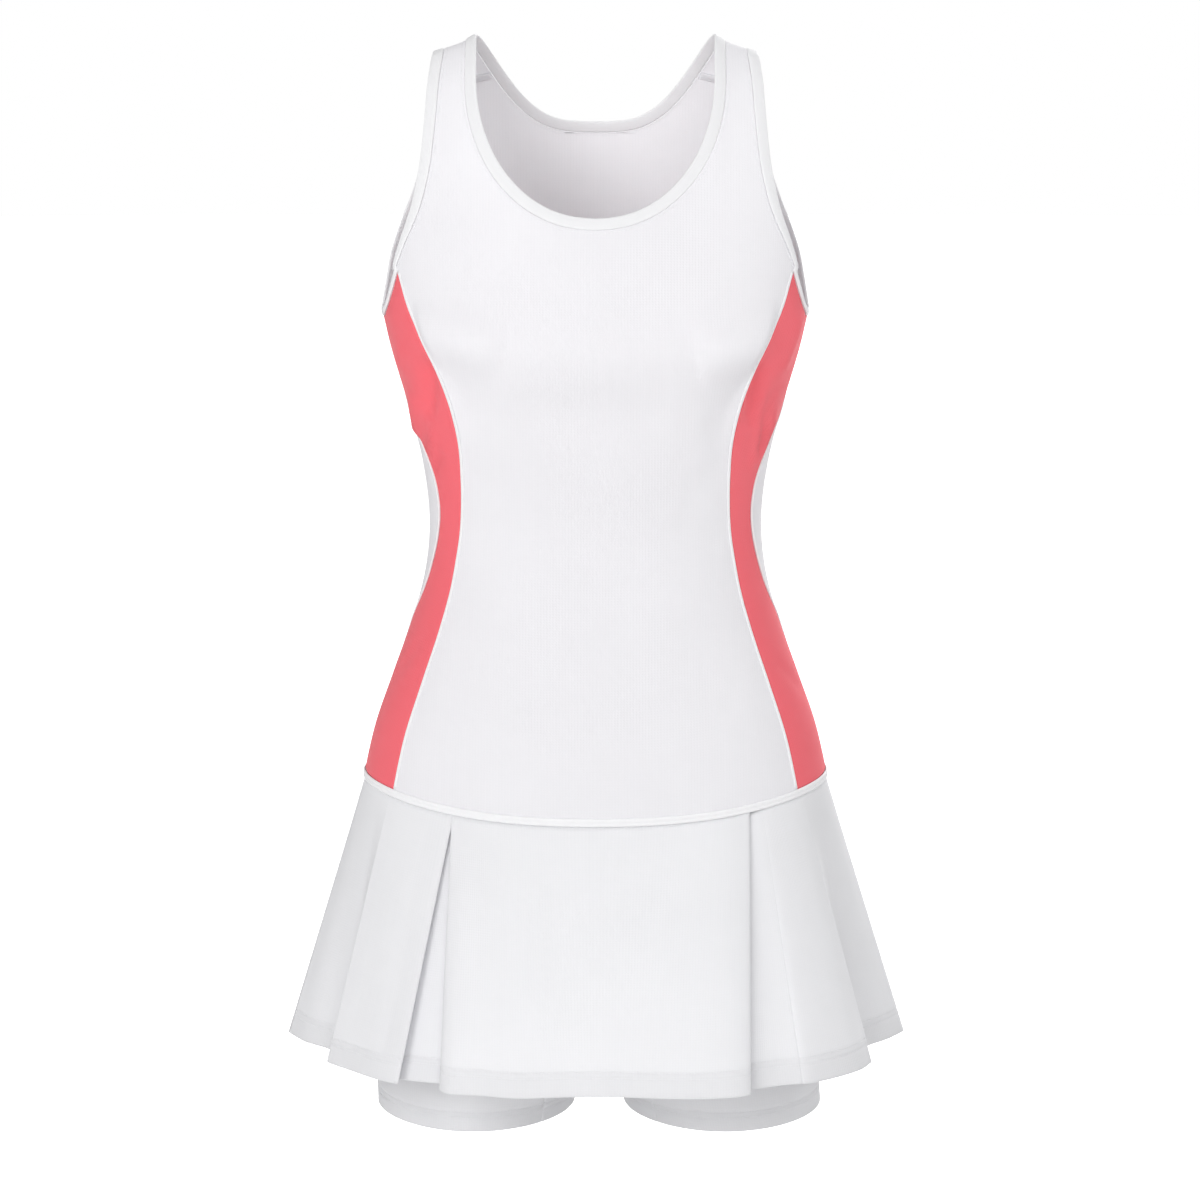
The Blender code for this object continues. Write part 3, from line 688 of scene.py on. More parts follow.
def bodice_panel(name, back, creases):
    """Front or back panel, from the hip seam to the shoulder seam."""
    low, runs, slit = panel_rows(back)
    rows = []
    for n, value in enumerate(low + runs):
        rise = along(ARCH, value, 1) if n >= len(low) else 0.0
        if rise < CORNER_RISE:
            outer = seam_angle(back, value if n < len(low) else 1 + rise / CORNER_RISE)[1]
            outer = 180 - outer if back else outer
        else:
            outer = angle_at(armhole_width(value), TORSO[0][1])
        inner = angle_at(neck_width(value), TORSO[0][1]) if n > slit else 0.0

        def spot(angle, side=1.0, n=n, value=value, full=False):
            turned = side * angle
            if n < len(low):
                turned = 180 - turned if back else turned
                bottom = panel_bottom(turned)
                z = bottom + (CHEST - bottom) * value
                return on_body(turned, z) if full else body_point(turned, z)
            return on_arch(turned, value) if full else arch_point(turned, value)

        angles = [outer * k / ARC_STEPS for k in range(ARC_STEPS + 1)]
        arcs = lengths_along([spot(angle) for angle in angles])
        k, share = stretch_at(angles, inner)
        rows.append((spot, angles, arcs, arcs[k] + (arcs[k + 1] - arcs[k]) * share))

    half = PANEL_COLUMNS + 2 * len(EDGE_STEPS) - 2
    heights = lengths_along([spot(angles[-1] * MEASURED_AT) for spot, angles, _, _ in rows])

    def place(column, row):
        side = math.copysign(1, column - half)
        spot, angles, arcs, start = rows[row]
        start = start + SEAM_GAP / 2 if row > slit else 0.0
        steps = spaced(start, arcs[-1] - SEAM_GAP / 2, PANEL_COLUMNS)
        along_row = steps[round(abs(column - half))]
        k, share = stretch_at(arcs, along_row)
        angle = angles[k] + (angles[k + 1] - angles[k]) * share
        point, normal = spot(angle, side=side, full=True)
        edge = beside = arcs[-1] - along_row
        if row < len(low):
            edge = min(edge, heights[row])
        else:
            run = runs[row - len(low)]
            to_neck = max(0.0, neck_distance(point.x, run))
            edge = min(edge, to_neck, abs(run - SHOULDER_SEAM_RUN) * RUN_LENGTH)
        lift = creased(creases, side * along_row, point.z) * smooth(beside / CREASE_END)
        return point + normal * (lift - rolled(edge)), side * along_row, heights[row]

    return lay(name, 2 * half, len(rows) - 1, place, slit_from=slit)


def side_top(share):
    """Height and angle of the armhole seam under the arm, from its front corner."""
    front, back = seam_angle(False, 2), seam_angle(True, 2)
    z = front[0] + (back[0] - front[0]) * share
    z -= ((front[0] + back[0]) / 2 - UNDERARM) * dip(share)
    return z, front[1] + (back[1] - front[1]) * share


def side_panel(name, side, creases):
    """Coral panel under the arm, narrow at the waist."""
    shares = low_shares(CHEST - panel_bottom(90))
    steps = spaced(0, SIDE_TOP, SIDE_TOP_ROWS, low_edge=False)
    shares += [1 + step / SIDE_TOP for step in steps[1:]]
    front = [seam_angle(False, share) for share in shares]
    back = [seam_angle(True, share) for share in shares]
    corner = (front[-1][0] + back[-1][0]) / 2

    def level(row, share):
        start, stop = front[row][1], back[row][1]
        angle = start + (stop - start) * share
        bottom = panel_bottom(angle)
        if shares[row] <= 1:
            z = bottom + (CHEST - bottom) * shares[row]
        else:
            z = front[row][0] + (back[row][0] - front[row][0]) * share
        up = (z - bottom) / (corner - bottom)
        z -= ((corner - UNDERARM) * dip(share) + SEAM_GAP) * up**3
        return angle, z

    marks = [k / SIDE_ARC_STEPS for k in range(SIDE_ARC_STEPS + 1)]
    rows = [
        lengths_along([body_point(*level(row, mark)) for mark in marks])
        for row in range(len(shares))
    ]
    heights = lengths_along([body_point(*level(row, 0.5)) for row in range(len(shares))])

    def place(column, row):
        arcs = rows[row]
        across = spaced(SEAM_GAP / 2, arcs[-1] - SEAM_GAP / 2, SIDE_COLUMNS)[round(column)]
        k, share = stretch_at(arcs, across)
        share = (k + share) / SIDE_ARC_STEPS
        angle, z = level(row, share)
        point, normal = on_body(side * angle, z)
        top = level(len(shares) - 1, share)[1]
        edge = min(across, arcs[-1] - across, heights[row], top - z)
        lift = creased(creases, angle, z) * smooth(edge / (CREASE_END / 2))
        lift -= rolled(max(0.0, edge), SIDE_ROLL_DEPTH)
        return point + normal * lift, side * (across - arcs[-1] / 2), heights[row]

    return lay(name, SIDE_COLUMNS + 2 * len(EDGE_STEPS) - 2, len(rows) - 1, place)


def seam_track(back, side, inward):
    """Line along a side seam, moved into the white panel beside it."""
    track = []
    turn = 1 if back else -1
    low, high = SEAM_ENDS
    for step in range(SEAM_STEPS + 1):
        z, angle = seam_angle(back, low + (high - low) * step / SEAM_STEPS)
        point, _ = on_body(side * angle, z)
        beside, _ = on_body(side * (angle + turn), z)
        degrees = inward / (beside - point).length
        track.append(on_body(side * (angle + turn * degrees), z))
    return track


def piping(name, back, side, width):
    """Rounded strip sewn along a side seam."""
    half = width / 2
    profile = [(half * across, out) for across, out in PIPING_PROFILE]
    return ribbon(name, evened(seam_track(back, side, half + 0.2), STRIP_STEP), profile)


STRIP_STEP = 3.0           # mm between the stations of a strip
PIPING_PROFILE = (         # across as a share of half its width, outward
    (-1, -0.35), (-0.88, 0.25), (-0.55, 0.62), (0, 0.75), (0.55, 0.62), (0.88, 0.25),
    (1, -0.35),
)
BINDING_PROFILE = (        # across from the seam, outward: from outside round to the inside
    (0.1, -0.3), (0.2, 0.12), (0.7, 0.5), (2.0, 0.78), (4.8, 0.88), (7.6, 0.85),
    (8.6, 0.68), (9.3, 0.3), (9.6, -0.3), (9.3, -0.85), (8.4, -1.2), (4.8, -1.35),
    (1.5, -1.3), (0.6, -1.15),
)
FACING_PROFILE = (
    (-10.5, -2.3), (-8.5, -1.9), (-5.0, -1.4), (-2.5, -1.1), (-1.0, -0.98), (0.3, -1.05),
)
SIDES = (("left", -1), ("right", 1))
ARMHOLE_WIDTHS = (         # rise, share of the binding's width: narrow under the arm
    (0.172, 0.48), (0.25, 0.66), (0.35, 0.86), (0.45, 0.97), (0.60, 1.0), (1.0, 1.0),
)


def neck_track():
    """The neck seam, from the centre front over both shoulders and back."""
    front, over, back = NECK_STEPS
    runs = neck_runs(False, front)
    runs += [runs[-1] + (1.0 - runs[-1]) * k / over for k in range(1, over + 1)]
    runs += neck_runs(True, back)[::-1][1:]
    half = []
    for n, run in enumerate(runs):
        angle = 0.0 if n in (0, len(runs) - 1) else angle_at(neck_width(run), TORSO[0][1])
        half.append(on_arch(angle, run))
    other = [(Vector((-p.x, p.y, p.z)), Vector((-n.x, n.y, n.z))) for p, n in half[:-1]]
    return half + other[::-1]


def arm_line(side):
    """The armhole seam from its front corner over the shoulder to its back corner."""
    rises = [CORNER_RISE + (1 - CORNER_RISE) * k / ARM_STEPS for k in range(1, ARM_STEPS + 1)]
    runs = [run_at(rise) for rise in rises[:-1]] + [1.0]
    runs += [run_at(rise, True) for rise in rises[::-1][1:]]
    return [on_arch(side * angle_at(armhole_width(run), TORSO[0][1]), run) for run in runs]


def underarm_line(side, steps):
    """The armhole seam under the arm, from its front corner to its back corner."""
    levels = (side_top(step / steps) for step in range(steps + 1))
    return [on_body(side * angle, z) for z, angle in levels]


def armhole_track(side):
    """The armhole seam, up the front, over the shoulder, down and under the arm."""
    track = arm_line(side) + underarm_line(side, UNDERARM_STEPS)[::-1]
    return track + track[:1]


def arm_middle(side):
    return Vector((side * ARM_MIDDLE.x, ARM_MIDDLE.y, ARM_MIDDLE.z))


def armhole_widths(stations):
    """Width of the armhole's binding at each station, narrow under the arm."""
    rises = ((p.z - CHEST) / (shoulder_height(p.x) - CHEST) for p, _, _ in stations)
    return [along(ARMHOLE_WIDTHS, rise, 1) for rise in rises]


def shoulder_point(side, share, along_cloth):
    """Point and normal inside the strap, behind the shoulder seam by some mm of cloth."""
    run = SHOULDER_SEAM_RUN + along_cloth / RUN_LENGTH
    inner = angle_at(neck_width(run), TORSO[0][1])
    outer = angle_at(armhole_width(run), TORSO[0][1])
    return on_arch(side * (inner + (outer - inner) * share), run)


def shoulder_allowance(name, side):
    """The shoulder seam's edges, pressed to the back inside the strap."""
    inside = bpy.context.scene.dress_cloth.panel / MM + 0.25

    def place(column, row):
        across, hump = ALLOWANCE_ROWS[round(column)]
        point, normal = shoulder_point(side, 0.03 + 0.94 * row / ALLOWANCE_STEPS, across)
        return point - normal * (inside + hump), across, row * 1.3

    return lay(name, len(ALLOWANCE_ROWS) - 1, ALLOWANCE_STEPS, place)


def overlock(side):
    """Zigzag thread over the raw edge of the shoulder seam's allowance."""
    track = []
    for n in range(OVERLOCKS + 1):
        share = 0.05 + 0.9 * n / OVERLOCKS
        across = ALLOWANCE - 0.2 - OVERLOCK_BITE * (n % 2)
        point, normal = shoulder_point(side, share, across)
        track.append((point - normal * OVERLOCK_DEPTH, -normal))
    return evened(track, 0.55)


def underarm_facing(name, side):
    """The binding's own edge, turned in flat behind the top of the side panel."""
    stations = evened(underarm_line(side, 2 * UNDERARM_STEPS), STRIP_STEP, hint=arm_middle(side))
    return ribbon(name, stations, FACING_PROFILE)


def hip_ring(angle, depth=0.0, drop=0.0):
    """Point at the hip seam, moved into the body and down."""
    point, normal = on_body(angle, hip_height(angle))
    flat = Vector((normal.x, normal.y, 0)).normalized()
    return point - flat * depth - Vector((0, 0, drop))


BAND_PROFILE = (
    # height above the seam, distance out of the cloth
    (-2.95, -0.55), (-2.9, 0.1), (-2.6, 0.62), (-2.0, 0.95), (-1.4, 1.0), (-0.7, 0.84),
    (-0.2, 0.6), (0.15, 0.58), (0.7, 0.78), (1.4, 0.9), (2.1, 0.8), (2.7, 0.5),
    (3.2, 0.12), (3.5, -0.25),
)


def hip_track(depth=0.0, drop=0.0):
    track = []
    for step in range(361):
        point = hip_ring(step, depth, drop)
        out = (hip_ring(step, depth - 1, drop) - point).normalized()
        track.append((point, out))
    return track


# -------------------------------------------------------------------- skirt

HEM_ROWS = (
    # height above the hem, distance inward: up inside the hem, round and up outside
    (20.6, 1.3), (14.0, 1.3), (7.0, 1.3), (2.0, 1.25), (0.6, 1.1), (0.12, 0.85), (0.0, 0.6),
    (0.12, 0.35), (0.6, 0.08), *((height, 0.0) for height in (
        2.0, 5.0, 9.0, 12.4, 14.1, 14.7, 15.2, 15.7, 16.3, 17.7, 19.1, 19.6, 20.1, 20.6,
        21.4, 23.5)),
)
HEM_FACE = 9               # the first of these rows that lies flat outside
HEM_STITCHES = (15.2, 20.1)
STITCH_GROOVE = 0.3        # mm that a row of stitches pulls the cloth in
SKIRT_ROWS = 46            # above the hem
FOLD_STEP = 4.5            # mm along the hem between mesh lines
MOUTH_TURN = 3.0           # degrees between the edges of a pleat that opens downward
MOUTH_TOP = 0.045          # share of the drop over which such a pleat is sewn up
MOUTH_SEAM = 0.5           # mm between its edges there
SKIRT_TOP_DEPTH = 0.4      # mm that the skirt's top lies inside the hip seam
SIDE_EDGE_DEPTH = 0.5      # mm that a half's side edges turn inward


def curve_through(points, counts):
    """Smooth line through the points, with a number of steps for each stretch."""
    ends = [points[0] * 2 - points[1]] + points + [points[-1] * 2 - points[-2]]
    line = [points[0]]
    for n, count in enumerate(counts):
        a, b, c, d = ends[n:n + 4]
        t1 = max(1e-3, (b - a).length) ** 0.5
        t2 = t1 + max(1e-3, (c - b).length) ** 0.5
        t3 = t2 + max(1e-3, (d - c).length) ** 0.5
        for step in range(1, count + 1):
            t = t1 + (t2 - t1) * step / count
            ab = a.lerp(b, t / t1)
            bc = b.lerp(c, (t - t1) / (t2 - t1))
            cd = c.lerp(d, (t - t2) / (t3 - t2))
            abc = ab.lerp(bc, t / t2)
            bcd = bc.lerp(cd, (t - t1) / (t3 - t1))
            line.append(abc.lerp(bcd, (t - t1) / (t2 - t1)))
    return line


def mouths(folds):
    """Places in a fold table of the two edges of each pleat that opens downward."""
    pairs = []
    for n, (_, _, angle, depth) in enumerate(folds[:-1]):
        if depth == 0 and folds[n + 1][3] > 0:
            m = next(k for k in range(n + 1, len(folds)) if folds[k][3] == 0)
            if abs(folds[m][2] - angle) < MOUTH_TURN:
                pairs.append((n, m))
    return pairs


def skirt_line(folds, height):
    """The skirt's line around the body at a height above its hem."""
    level = 1 - height / (HIP_SIDE - HEM_HEIGHT)
    drop = BAND_HALF_HEIGHT + SEAM_GAP
    points = []
    for hem_x, hem_y, angle, depth in folds:
        top = hip_ring(angle, SKIRT_TOP_DEPTH + depth * LAYER_DEPTH, drop)
        points.append(top.lerp(Vector((hem_x, hem_y, HEM_HEIGHT)), level))
    for n, m in mouths(folds):
        wide = (Vector(folds[m][:2]) - Vector(folds[n][:2])).length
        apart = points[m] - points[n]
        open_now = MOUTH_SEAM + wide * max(0.0, level - MOUTH_TOP) / (1 - MOUTH_TOP)
        shift = apart * (1 - open_now / apart.length) / 2
        for k in (n, n + 1):
            points[k] = points[k] + shift
        for k in (m - 1, m):
            points[k] = points[k] - shift
    counts = [
        max(4, round(math.hypot(b[0] - a[0], b[1] - a[1]) / FOLD_STEP))
        for a, b in zip(folds, folds[1:])
    ]
    return curve_through(points, counts)


def line_normals(line):
    """Outward directions of a line around the body."""
    normals = []
    for n in range(len(line)):
        ahead = line[min(n + 1, len(line) - 1)] - line[max(n - 1, 0)]
        normals.append(Vector((ahead.y, -ahead.x, 0)).normalized())
    return normals


def stitch_groove(height, marks):
    """How far the rows of stitches pull a hem in at this height."""
    return sum(STITCH_GROOVE * math.exp(-((height - mark) / 0.6) ** 2) for mark in marks)


def skirt_half(name, folds):
    """Half of the skirt: a pleated cloth with its hem turned up inside."""
    tall, last = HIP_SIDE - HEM_HEIGHT, HEM_ROWS[-1][0]
    rise = (tall - last) / SKIRT_ROWS
    rows = [*HEM_ROWS, *((last + rise * k, 0.0) for k in range(1, SKIRT_ROWS + 1))]
    rows = [(height, inward or stitch_groove(height, HEM_STITCHES)) for height, inward in rows]
    lines = []
    for height, inward in rows:
        line = skirt_line(folds, height)
        seam = Vector((0, -SEAM_GAP / 2 if line[len(line) // 2].y < 0 else SEAM_GAP / 2, 0))
        shifted = []
        for k, (point, normal) in enumerate(zip(line, line_normals(line))):
            if k in (0, len(line) - 1):
                normal = Vector((math.copysign(1, point.x), 0, 0))
                shifted.append(point + seam - normal * (inward + SIDE_EDGE_DEPTH))
            else:
                shifted.append(point - normal * inward)
        lines.append(shifted)
    up, flat = lengths_along(rows), lengths_along(lines[HEM_FACE])

    def place(column, row):
        return lines[row][round(column)], flat[round(column)], up[row]

    return lay(name, len(flat) - 1, len(rows) - 1, place)


# ------------------------------------------------------------------- shorts

LEG_HEM_ROWS = (
    (15.6, 1.2), (9.0, 1.2), (2.0, 1.15), (0.6, 1.0), (0.12, 0.8), (0.0, 0.55),
    (0.12, 0.3), (0.6, 0.06), *((height, 0.0) for height in (
        2.0, 5.0, 8.0, 10.4, 11.0, 11.4, 11.8, 12.4, 14.0, 15.0, 15.6, 16.0, 16.4, 17.0,
        19.0)),
)
LEG_STITCHES = (11.4, 16.0)
LEG_SEAM = 0.133           # share of the way round the leg, from its inner side
LEG_SEAM_GROOVE = 0.8      # mm deep, and mm from its middle to where it fades
LEG_AROUND = 2 * math.pi * 85      # mm
LEG_COLUMNS = 88
LEG_SEAM_STEPS = (-1.8, -0.9, -0.4, 0.0, 0.4, 0.9, 1.8)    # mm from a seam to mesh lines
LEG_ROWS = 12              # mesh rows from the hem up to just below the crotch
SEAT_ROWS = 30             # mesh rows from just above the crotch to below the hip seam


def shorts_line(share, z, leg_centre):
    """Point of one half of the shorts, before it is moved to its side."""
    turn = 2 * math.pi * share
    pelvis = max(z, CROTCH)
    wide, front, back = (along(SHORTS, pelvis, column) for column in (1, 2, 3))
    x, y = ring(180 * share, wide, front, back)
    deep = (SHORTS[0][0] - pelvis) / (SHORTS[0][0] - CROTCH)
    down = max(0.0, (CROTCH - z) / (CROTCH - LEG_HEM))
    centre = wide / 2 + (leg_centre - wide / 2) * down
    half = wide / 2 + (LEG_HALF_WIDTH - wide / 2) * down
    leg_x = centre - half * math.cos(turn)
    leg_y = LEG_BACK_SHIFT - LEG_HALF_DEPTH * math.sin(turn)
    mix = deep**4
    rise = LEG_SIDE_RISE * down * math.cos(turn) ** 2
    return Vector((x + (leg_x - x) * mix, y + (leg_y - y) * mix, z + rise))


def on_shorts(share, z, leg_centre):
    """Point of the shorts and the level direction outward there."""
    ahead = shorts_line(min(1, share + 0.01), z, leg_centre)
    ahead -= shorts_line(max(0, share - 0.01), z, leg_centre)
    return shorts_line(share, z, leg_centre), Vector((ahead.y, -ahead.x, 0)).normalized()


def shorts_half(name, side, leg_centre):
    """Half of the inner shorts: half of the seat and one leg, sewn up inside."""
    shares = [k / LEG_COLUMNS for k in range(LEG_COLUMNS + 1)]
    for step in LEG_SEAM_STEPS:
        shares += [seam + step / LEG_AROUND for seam in (LEG_SEAM, 1 - LEG_SEAM)]
    shares.sort()
    rows = [(LEG_HEM + height, inward) for height, inward in LEG_HEM_ROWS]
    last = rows[-1][0]
    heights = [last + (CROTCH - 6 - last) * k / LEG_ROWS for k in range(1, LEG_ROWS + 1)]
    heights += [CROTCH, CROTCH + 3]
    seat = HIP_SIDE - 16 - CROTCH
    heights += [CROTCH + 3 + seat * k / SEAT_ROWS for k in range(1, SEAT_ROWS + 1)]
    rows += [(z, 0.0) for z in heights]
    up = lengths_along(rows)
    up += [up[-1] + 12 + 3 * k for k in range(len(SHORTS_TOP))]

    def place(column, row):
        column = round(column)
        share = shares[column]
        flat = side * share * LEG_AROUND, up[row]
        if row >= len(rows):
            depth, low = SHORTS_TOP[row - len(rows)]
            point = hip_ring(180 * share, depth, low)
        else:
            z, inward = rows[row]
            point, normal = on_shorts(share, z, leg_centre)
            for seam in (LEG_SEAM, 1 - LEG_SEAM):
                beside = (share - seam) * LEG_AROUND / LEG_SEAM_GROOVE
                inward += LEG_SEAM_GROOVE * math.exp(-beside**2)
            if row > HEM_FACE - 1:
                inward += stitch_groove(z - LEG_HEM, LEG_STITCHES)
            point -= normal * inward
            if column in (0, len(shares) - 1) and z < CROTCH + 1:
                point.y += (-1 if column == 0 else 1) * SEAM_GAP / 2
        point.x = max(point.x, SEAM_GAP / 2)
        return Vector((side * point.x, point.y, point.z)), *flat

    return lay(name, len(shares) - 1, len(up) - 1, place)


# ------------------------------------------------------- fabrics and finish


def cloth_tree(name, colour, depth):
    """A new material's empty node tree, and the cloth's dark and light colours."""
    material = bpy.data.materials.new(name)
    material.use_nodes = True
    material.node_tree.nodes.clear()
    dark = (*(part * depth for part in colour[:3]), 1.0)
    return material, material.node_tree, {6: dark, 7: tuple(colour)}


def fabric(name, colour, depth, spacing, grain, rough, sheen, loops):
    """Procedural cloth on the piece's own flat coordinates.

    depth is the darkest tone in the cloth, as a share of its colour.
    spacing is the threads' distance in mm, across and up. Knitted loops lean to
    and fro in each column, and a plain weave's threads cross straight.
    """
    material, tree, tones = cloth_tree(name, colour, depth)
    flat = add_node(tree, "UVMap", {"uv_map": "cloth"})
    threads = add_node(tree, "Mapping", None, {
        "Vector": (flat, "UV"), "Scale": (1 / (spacing[0] * MM), 1 / (spacing[1] * MM), 1.0)})
    split = add_node(tree, "SeparateXYZ", None, {"Vector": (threads, "Vector")})
    lean = math_node(tree, "PINGPONG", (split, "X"), 0.5)
    leaning = math_node(tree, "MULTIPLY_ADD", (lean, "Value"), loops, (split, "Y"))
    waves = []
    for source, output, wave in ((leaning, "Value", "SINE"), (split, "X", "COSINE")):
        turn = math_node(tree, "MULTIPLY", (source, output), 2 * math.pi)
        waves.append(math_node(tree, wave, (turn, "Value")))
    both = math_node(tree, "MULTIPLY_ADD", (waves[0], "Value"), 0.6, (waves[1], "Value"))
    place = add_node(tree, "TexCoord")
    slubs = add_node(tree, "Mapping", None, {"Vector": (flat, "UV"), "Scale": (260.0, 16.0, 1.0)})
    streaks = add_node(tree, "TexNoise", None, {"Vector": (slubs, "Vector"), "Scale": 1.0})
    cloudy = add_node(tree, "TexNoise", None, {"Vector": (place, "Object"), "Scale": 14.0})
    mixed = math_node(tree, "MULTIPLY_ADD", (both, "Value"), 0.09, (cloudy, "Fac"))
    tone = math_node(tree, "MULTIPLY_ADD", (streaks, "Fac"), 0.3, (mixed, "Value"))
    amount = add_node(tree, "MapRange", None, {
        "Value": (tone, "Value"), "From Min": 0.2, "From Max": 1.1})
    tint = add_node(tree, "Mix", {"data_type": "RGBA"}, {"Factor": (amount, "Result"), **tones})
    gloss = add_node(tree, "MapRange", None, {
        "Value": (streaks, "Fac"), "To Min": rough - 0.05, "To Max": rough + 0.06})
    raised = math_node(tree, "MULTIPLY_ADD", (streaks, "Fac"), 0.35, (both, "Value"))
    bump = add_node(tree, "Bump", None, {
        "Strength": grain, "Distance": 0.0002, "Height": (raised, "Value")})
    shader = add_node(tree, "BsdfPrincipled", None, {
        "Base Color": (tint, "Result"), "Roughness": (gloss, "Result"),
        "Normal": (bump, "Normal"), "Sheen Weight": sheen, "Sheen Roughness": 0.45,
        "Specular IOR Level": 0.25, "Subsurface Weight": 0.3, "Subsurface Scale": 0.004,
        "Subsurface Radius": (1.0, 1.0, 1.0)})
    add_node(tree, "OutputMaterial", None, {"Surface": (shader, "BSDF")})
    return material


FABRICS = {
    # slot: (material's name, colour and thickness properties, depth, spacing, grain,
    #        roughness, sheen, loops)
    # Interlock stretch knit: a close, even surface with faint upright ribs and a dull
    # bloom. Real ribs are 0.7 mm apart and are drawn 2.4 mm apart, so that they show.
    "white_knit": (
        "white interlock knit", "panel", "panel", 0.94, (2.4, 2.1), 0.13, 0.72, 0.05, 0.9),
    "coral_knit": (
        "coral interlock knit", "side", "panel", 0.93, (2.4, 2.1), 0.16, 0.7, 0.05, 0.9),
    # Woven skirt cloth: straight fine threads, matt. Real threads are 0.4 mm apart and
    # are drawn 2.2 mm apart.
    "white_weave": (
        "white woven skirt cloth", "skirt", "skirt", 0.94, (2.2, 2.0), 0.12, 0.78, 0.04, 0.0),
    # Folded knit binding: tighter and smoother than the panels. Its colour and depth are painted
    # a little brighter than theirs: painted light that makes up for the shade on its rolled
    # edges.
    "white_binding": (
        "white folded binding", "binding", "trim", 0.98, (1.8, 1.8), 0.08, 0.66, 0.05, 0.9),
}


def thread_finish(name, colour):
    """Polyester sewing thread: smooth plied filament with a slight gloss."""
    material, tree, tones = cloth_tree(name, colour, THREAD_TONE)
    place = add_node(tree, "TexCoord")
    plies = add_node(tree, "TexNoise", None, {
        "Vector": (place, "Object"), "Scale": 900.0, "Detail": 1.0})
    tint = add_node(tree, "Mix", {"data_type": "RGBA"}, {"Factor": (plies, "Fac"), **tones})
    bump = add_node(tree, "Bump", None, {
        "Strength": 0.2, "Distance": 0.0001, "Height": (plies, "Fac")})
    shader = add_node(tree, "BsdfPrincipled", None, {
        "Base Color": (tint, "Result"), "Roughness": 0.45, "Normal": (bump, "Normal")})
    add_node(tree, "OutputMaterial", None, {"Surface": (shader, "BSDF")})
    return material


THREAD_TONE = 0.93         # the thread's darkest tone, as a share of its colour
THREAD_NAME = "white polyester thread"


def declare(piece, slot, *nodes):
    """Say what a piece rides on, and hide the solids that it stands for."""
    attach(piece, "root")
    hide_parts(*nodes)
    return piece


def clothe(piece, slot, *nodes):
    name, part, wall, *looks = FABRICS[slot]
    scene = bpy.context.scene
    made = bpy.data.materials.get(name)
    piece.data.materials.append(
        made or fabric(name, getattr(scene.dress_colours, part), *looks))
    solid = piece.modifiers.new("cloth thickness", "SOLIDIFY")
    solid.thickness = getattr(scene.dress_cloth, wall)
    solid.offset = -1
    solid.use_even_offset = True
    solid.use_rim = True
    return declare(piece, slot, *nodes)


def stitched(name, rows, slot):
    """Rows of stitches as one piece."""
    bm = bmesh.new()
    for stations in rows:
        sew(bm, stations)
    bmesh.ops.recalc_face_normals(bm, faces=bm.faces)
    piece = finished(name, bm)
    made = bpy.data.materials.get(THREAD_NAME)
    piece.data.materials.append(
        made or thread_finish(THREAD_NAME, bpy.context.scene.dress_colours.thread))
    declare(piece, slot)


# ---------------------------------------------------------------- operators


def colour_property(name, description, code):
    """A colour that a user can change, with its sRGB default."""
    return bpy.props.FloatVectorProperty(
        name=name, description=description, subtype="COLOR", size=4, min=0.0, max=1.0,
        default=srgb(code))


def number_property(name, description, default, **limits):
    """A size or power that a user can change."""
    return bpy.props.FloatProperty(
        name=name, description=description, default=default, **limits)


THIN = {"min": 0.0003, "max": 0.002, "unit": "LENGTH"}
POWER = {"min": 0.0, "subtype": "POWER"}


class DressCloth(bpy.types.PropertyGroup):
    panel: number_property("Panel cloth", "Thickness of the bodice's knit", 0.0007, **THIN)
    skirt: number_property("Skirt cloth", "Thickness of the skirt's cloth", 0.0006, **THIN)
    trim: number_property(
        "Trim cloth", "Thickness of the bindings' and piping's cloth", 0.0005, **THIN)


class DressColours(bpy.types.PropertyGroup):
    panel: colour_property("Panels", "Front and back panels", "#F2F1F5")
    side: colour_property("Side panels", "Coral panels under the arms", "#FD6B75")
    skirt: colour_property("Skirt and shorts", "Pleated skirt and inner shorts", "#F1F1F4")
    # Painted a little brighter than the panels: painted light that makes up for the shade on the
    # rolled bindings.
    binding: colour_property("Bindings", "Bindings, piping and hip band", "#FCFCFE")
    thread: colour_property("Thread", "Thread of the stitching", "#F6F6F9")


class DressStage(bpy.types.PropertyGroup):
    distance: number_property(
        "Camera distance", "From the camera to the middle of the dress", 3.2,
        min=1.0, max=10.0, unit="LENGTH")
    elevation: number_property(
        "Camera elevation", "Height of the view above the level", math.radians(8),
        subtype="ANGLE")
    lens: number_property("Lens", "Focal length of the camera in mm", 120.0, min=1.0)
    key: number_property("Key light", "Power of the light at the upper left", 46.0, **POWER)
    front: number_property(
        "Front light", "Power of the low light beside the camera", 23.0, **POWER)
    fill: number_property("Fill light", "Power of the light at the right", 17.0, **POWER)
    rear: number_property("Rear light", "Power of the light behind the dress", 80.0, **POWER)
    surround: number_property(
        "Surround", "Strength of the even light from all sides", 0.52, min=0.0)


class DRESS_OT_bodice(bpy.types.Operator):
    """Make the white front and back panels"""

    bl_idname = "dress.bodice"
    bl_label = "Bodice panels"

    def execute(self, context):
        for word, back, creases, flat, area in (
            ("front", False, FRONT_CREASES, (0.345, 0.66), 0.142),
            ("back", True, BACK_CREASES, (0.43, 0.60), 0.2),
        ):
            piece = bodice_panel(f"{word}_panel", back, creases)
            clothe(piece, "white_knit", f"bodice_{word}")
            turned = [
                clothe(shoulder_allowance(f"shoulder_allowance_{name}", side), "white_knit")
                for name, side in (SIDES if back else ())
            ]
        return {"FINISHED"}


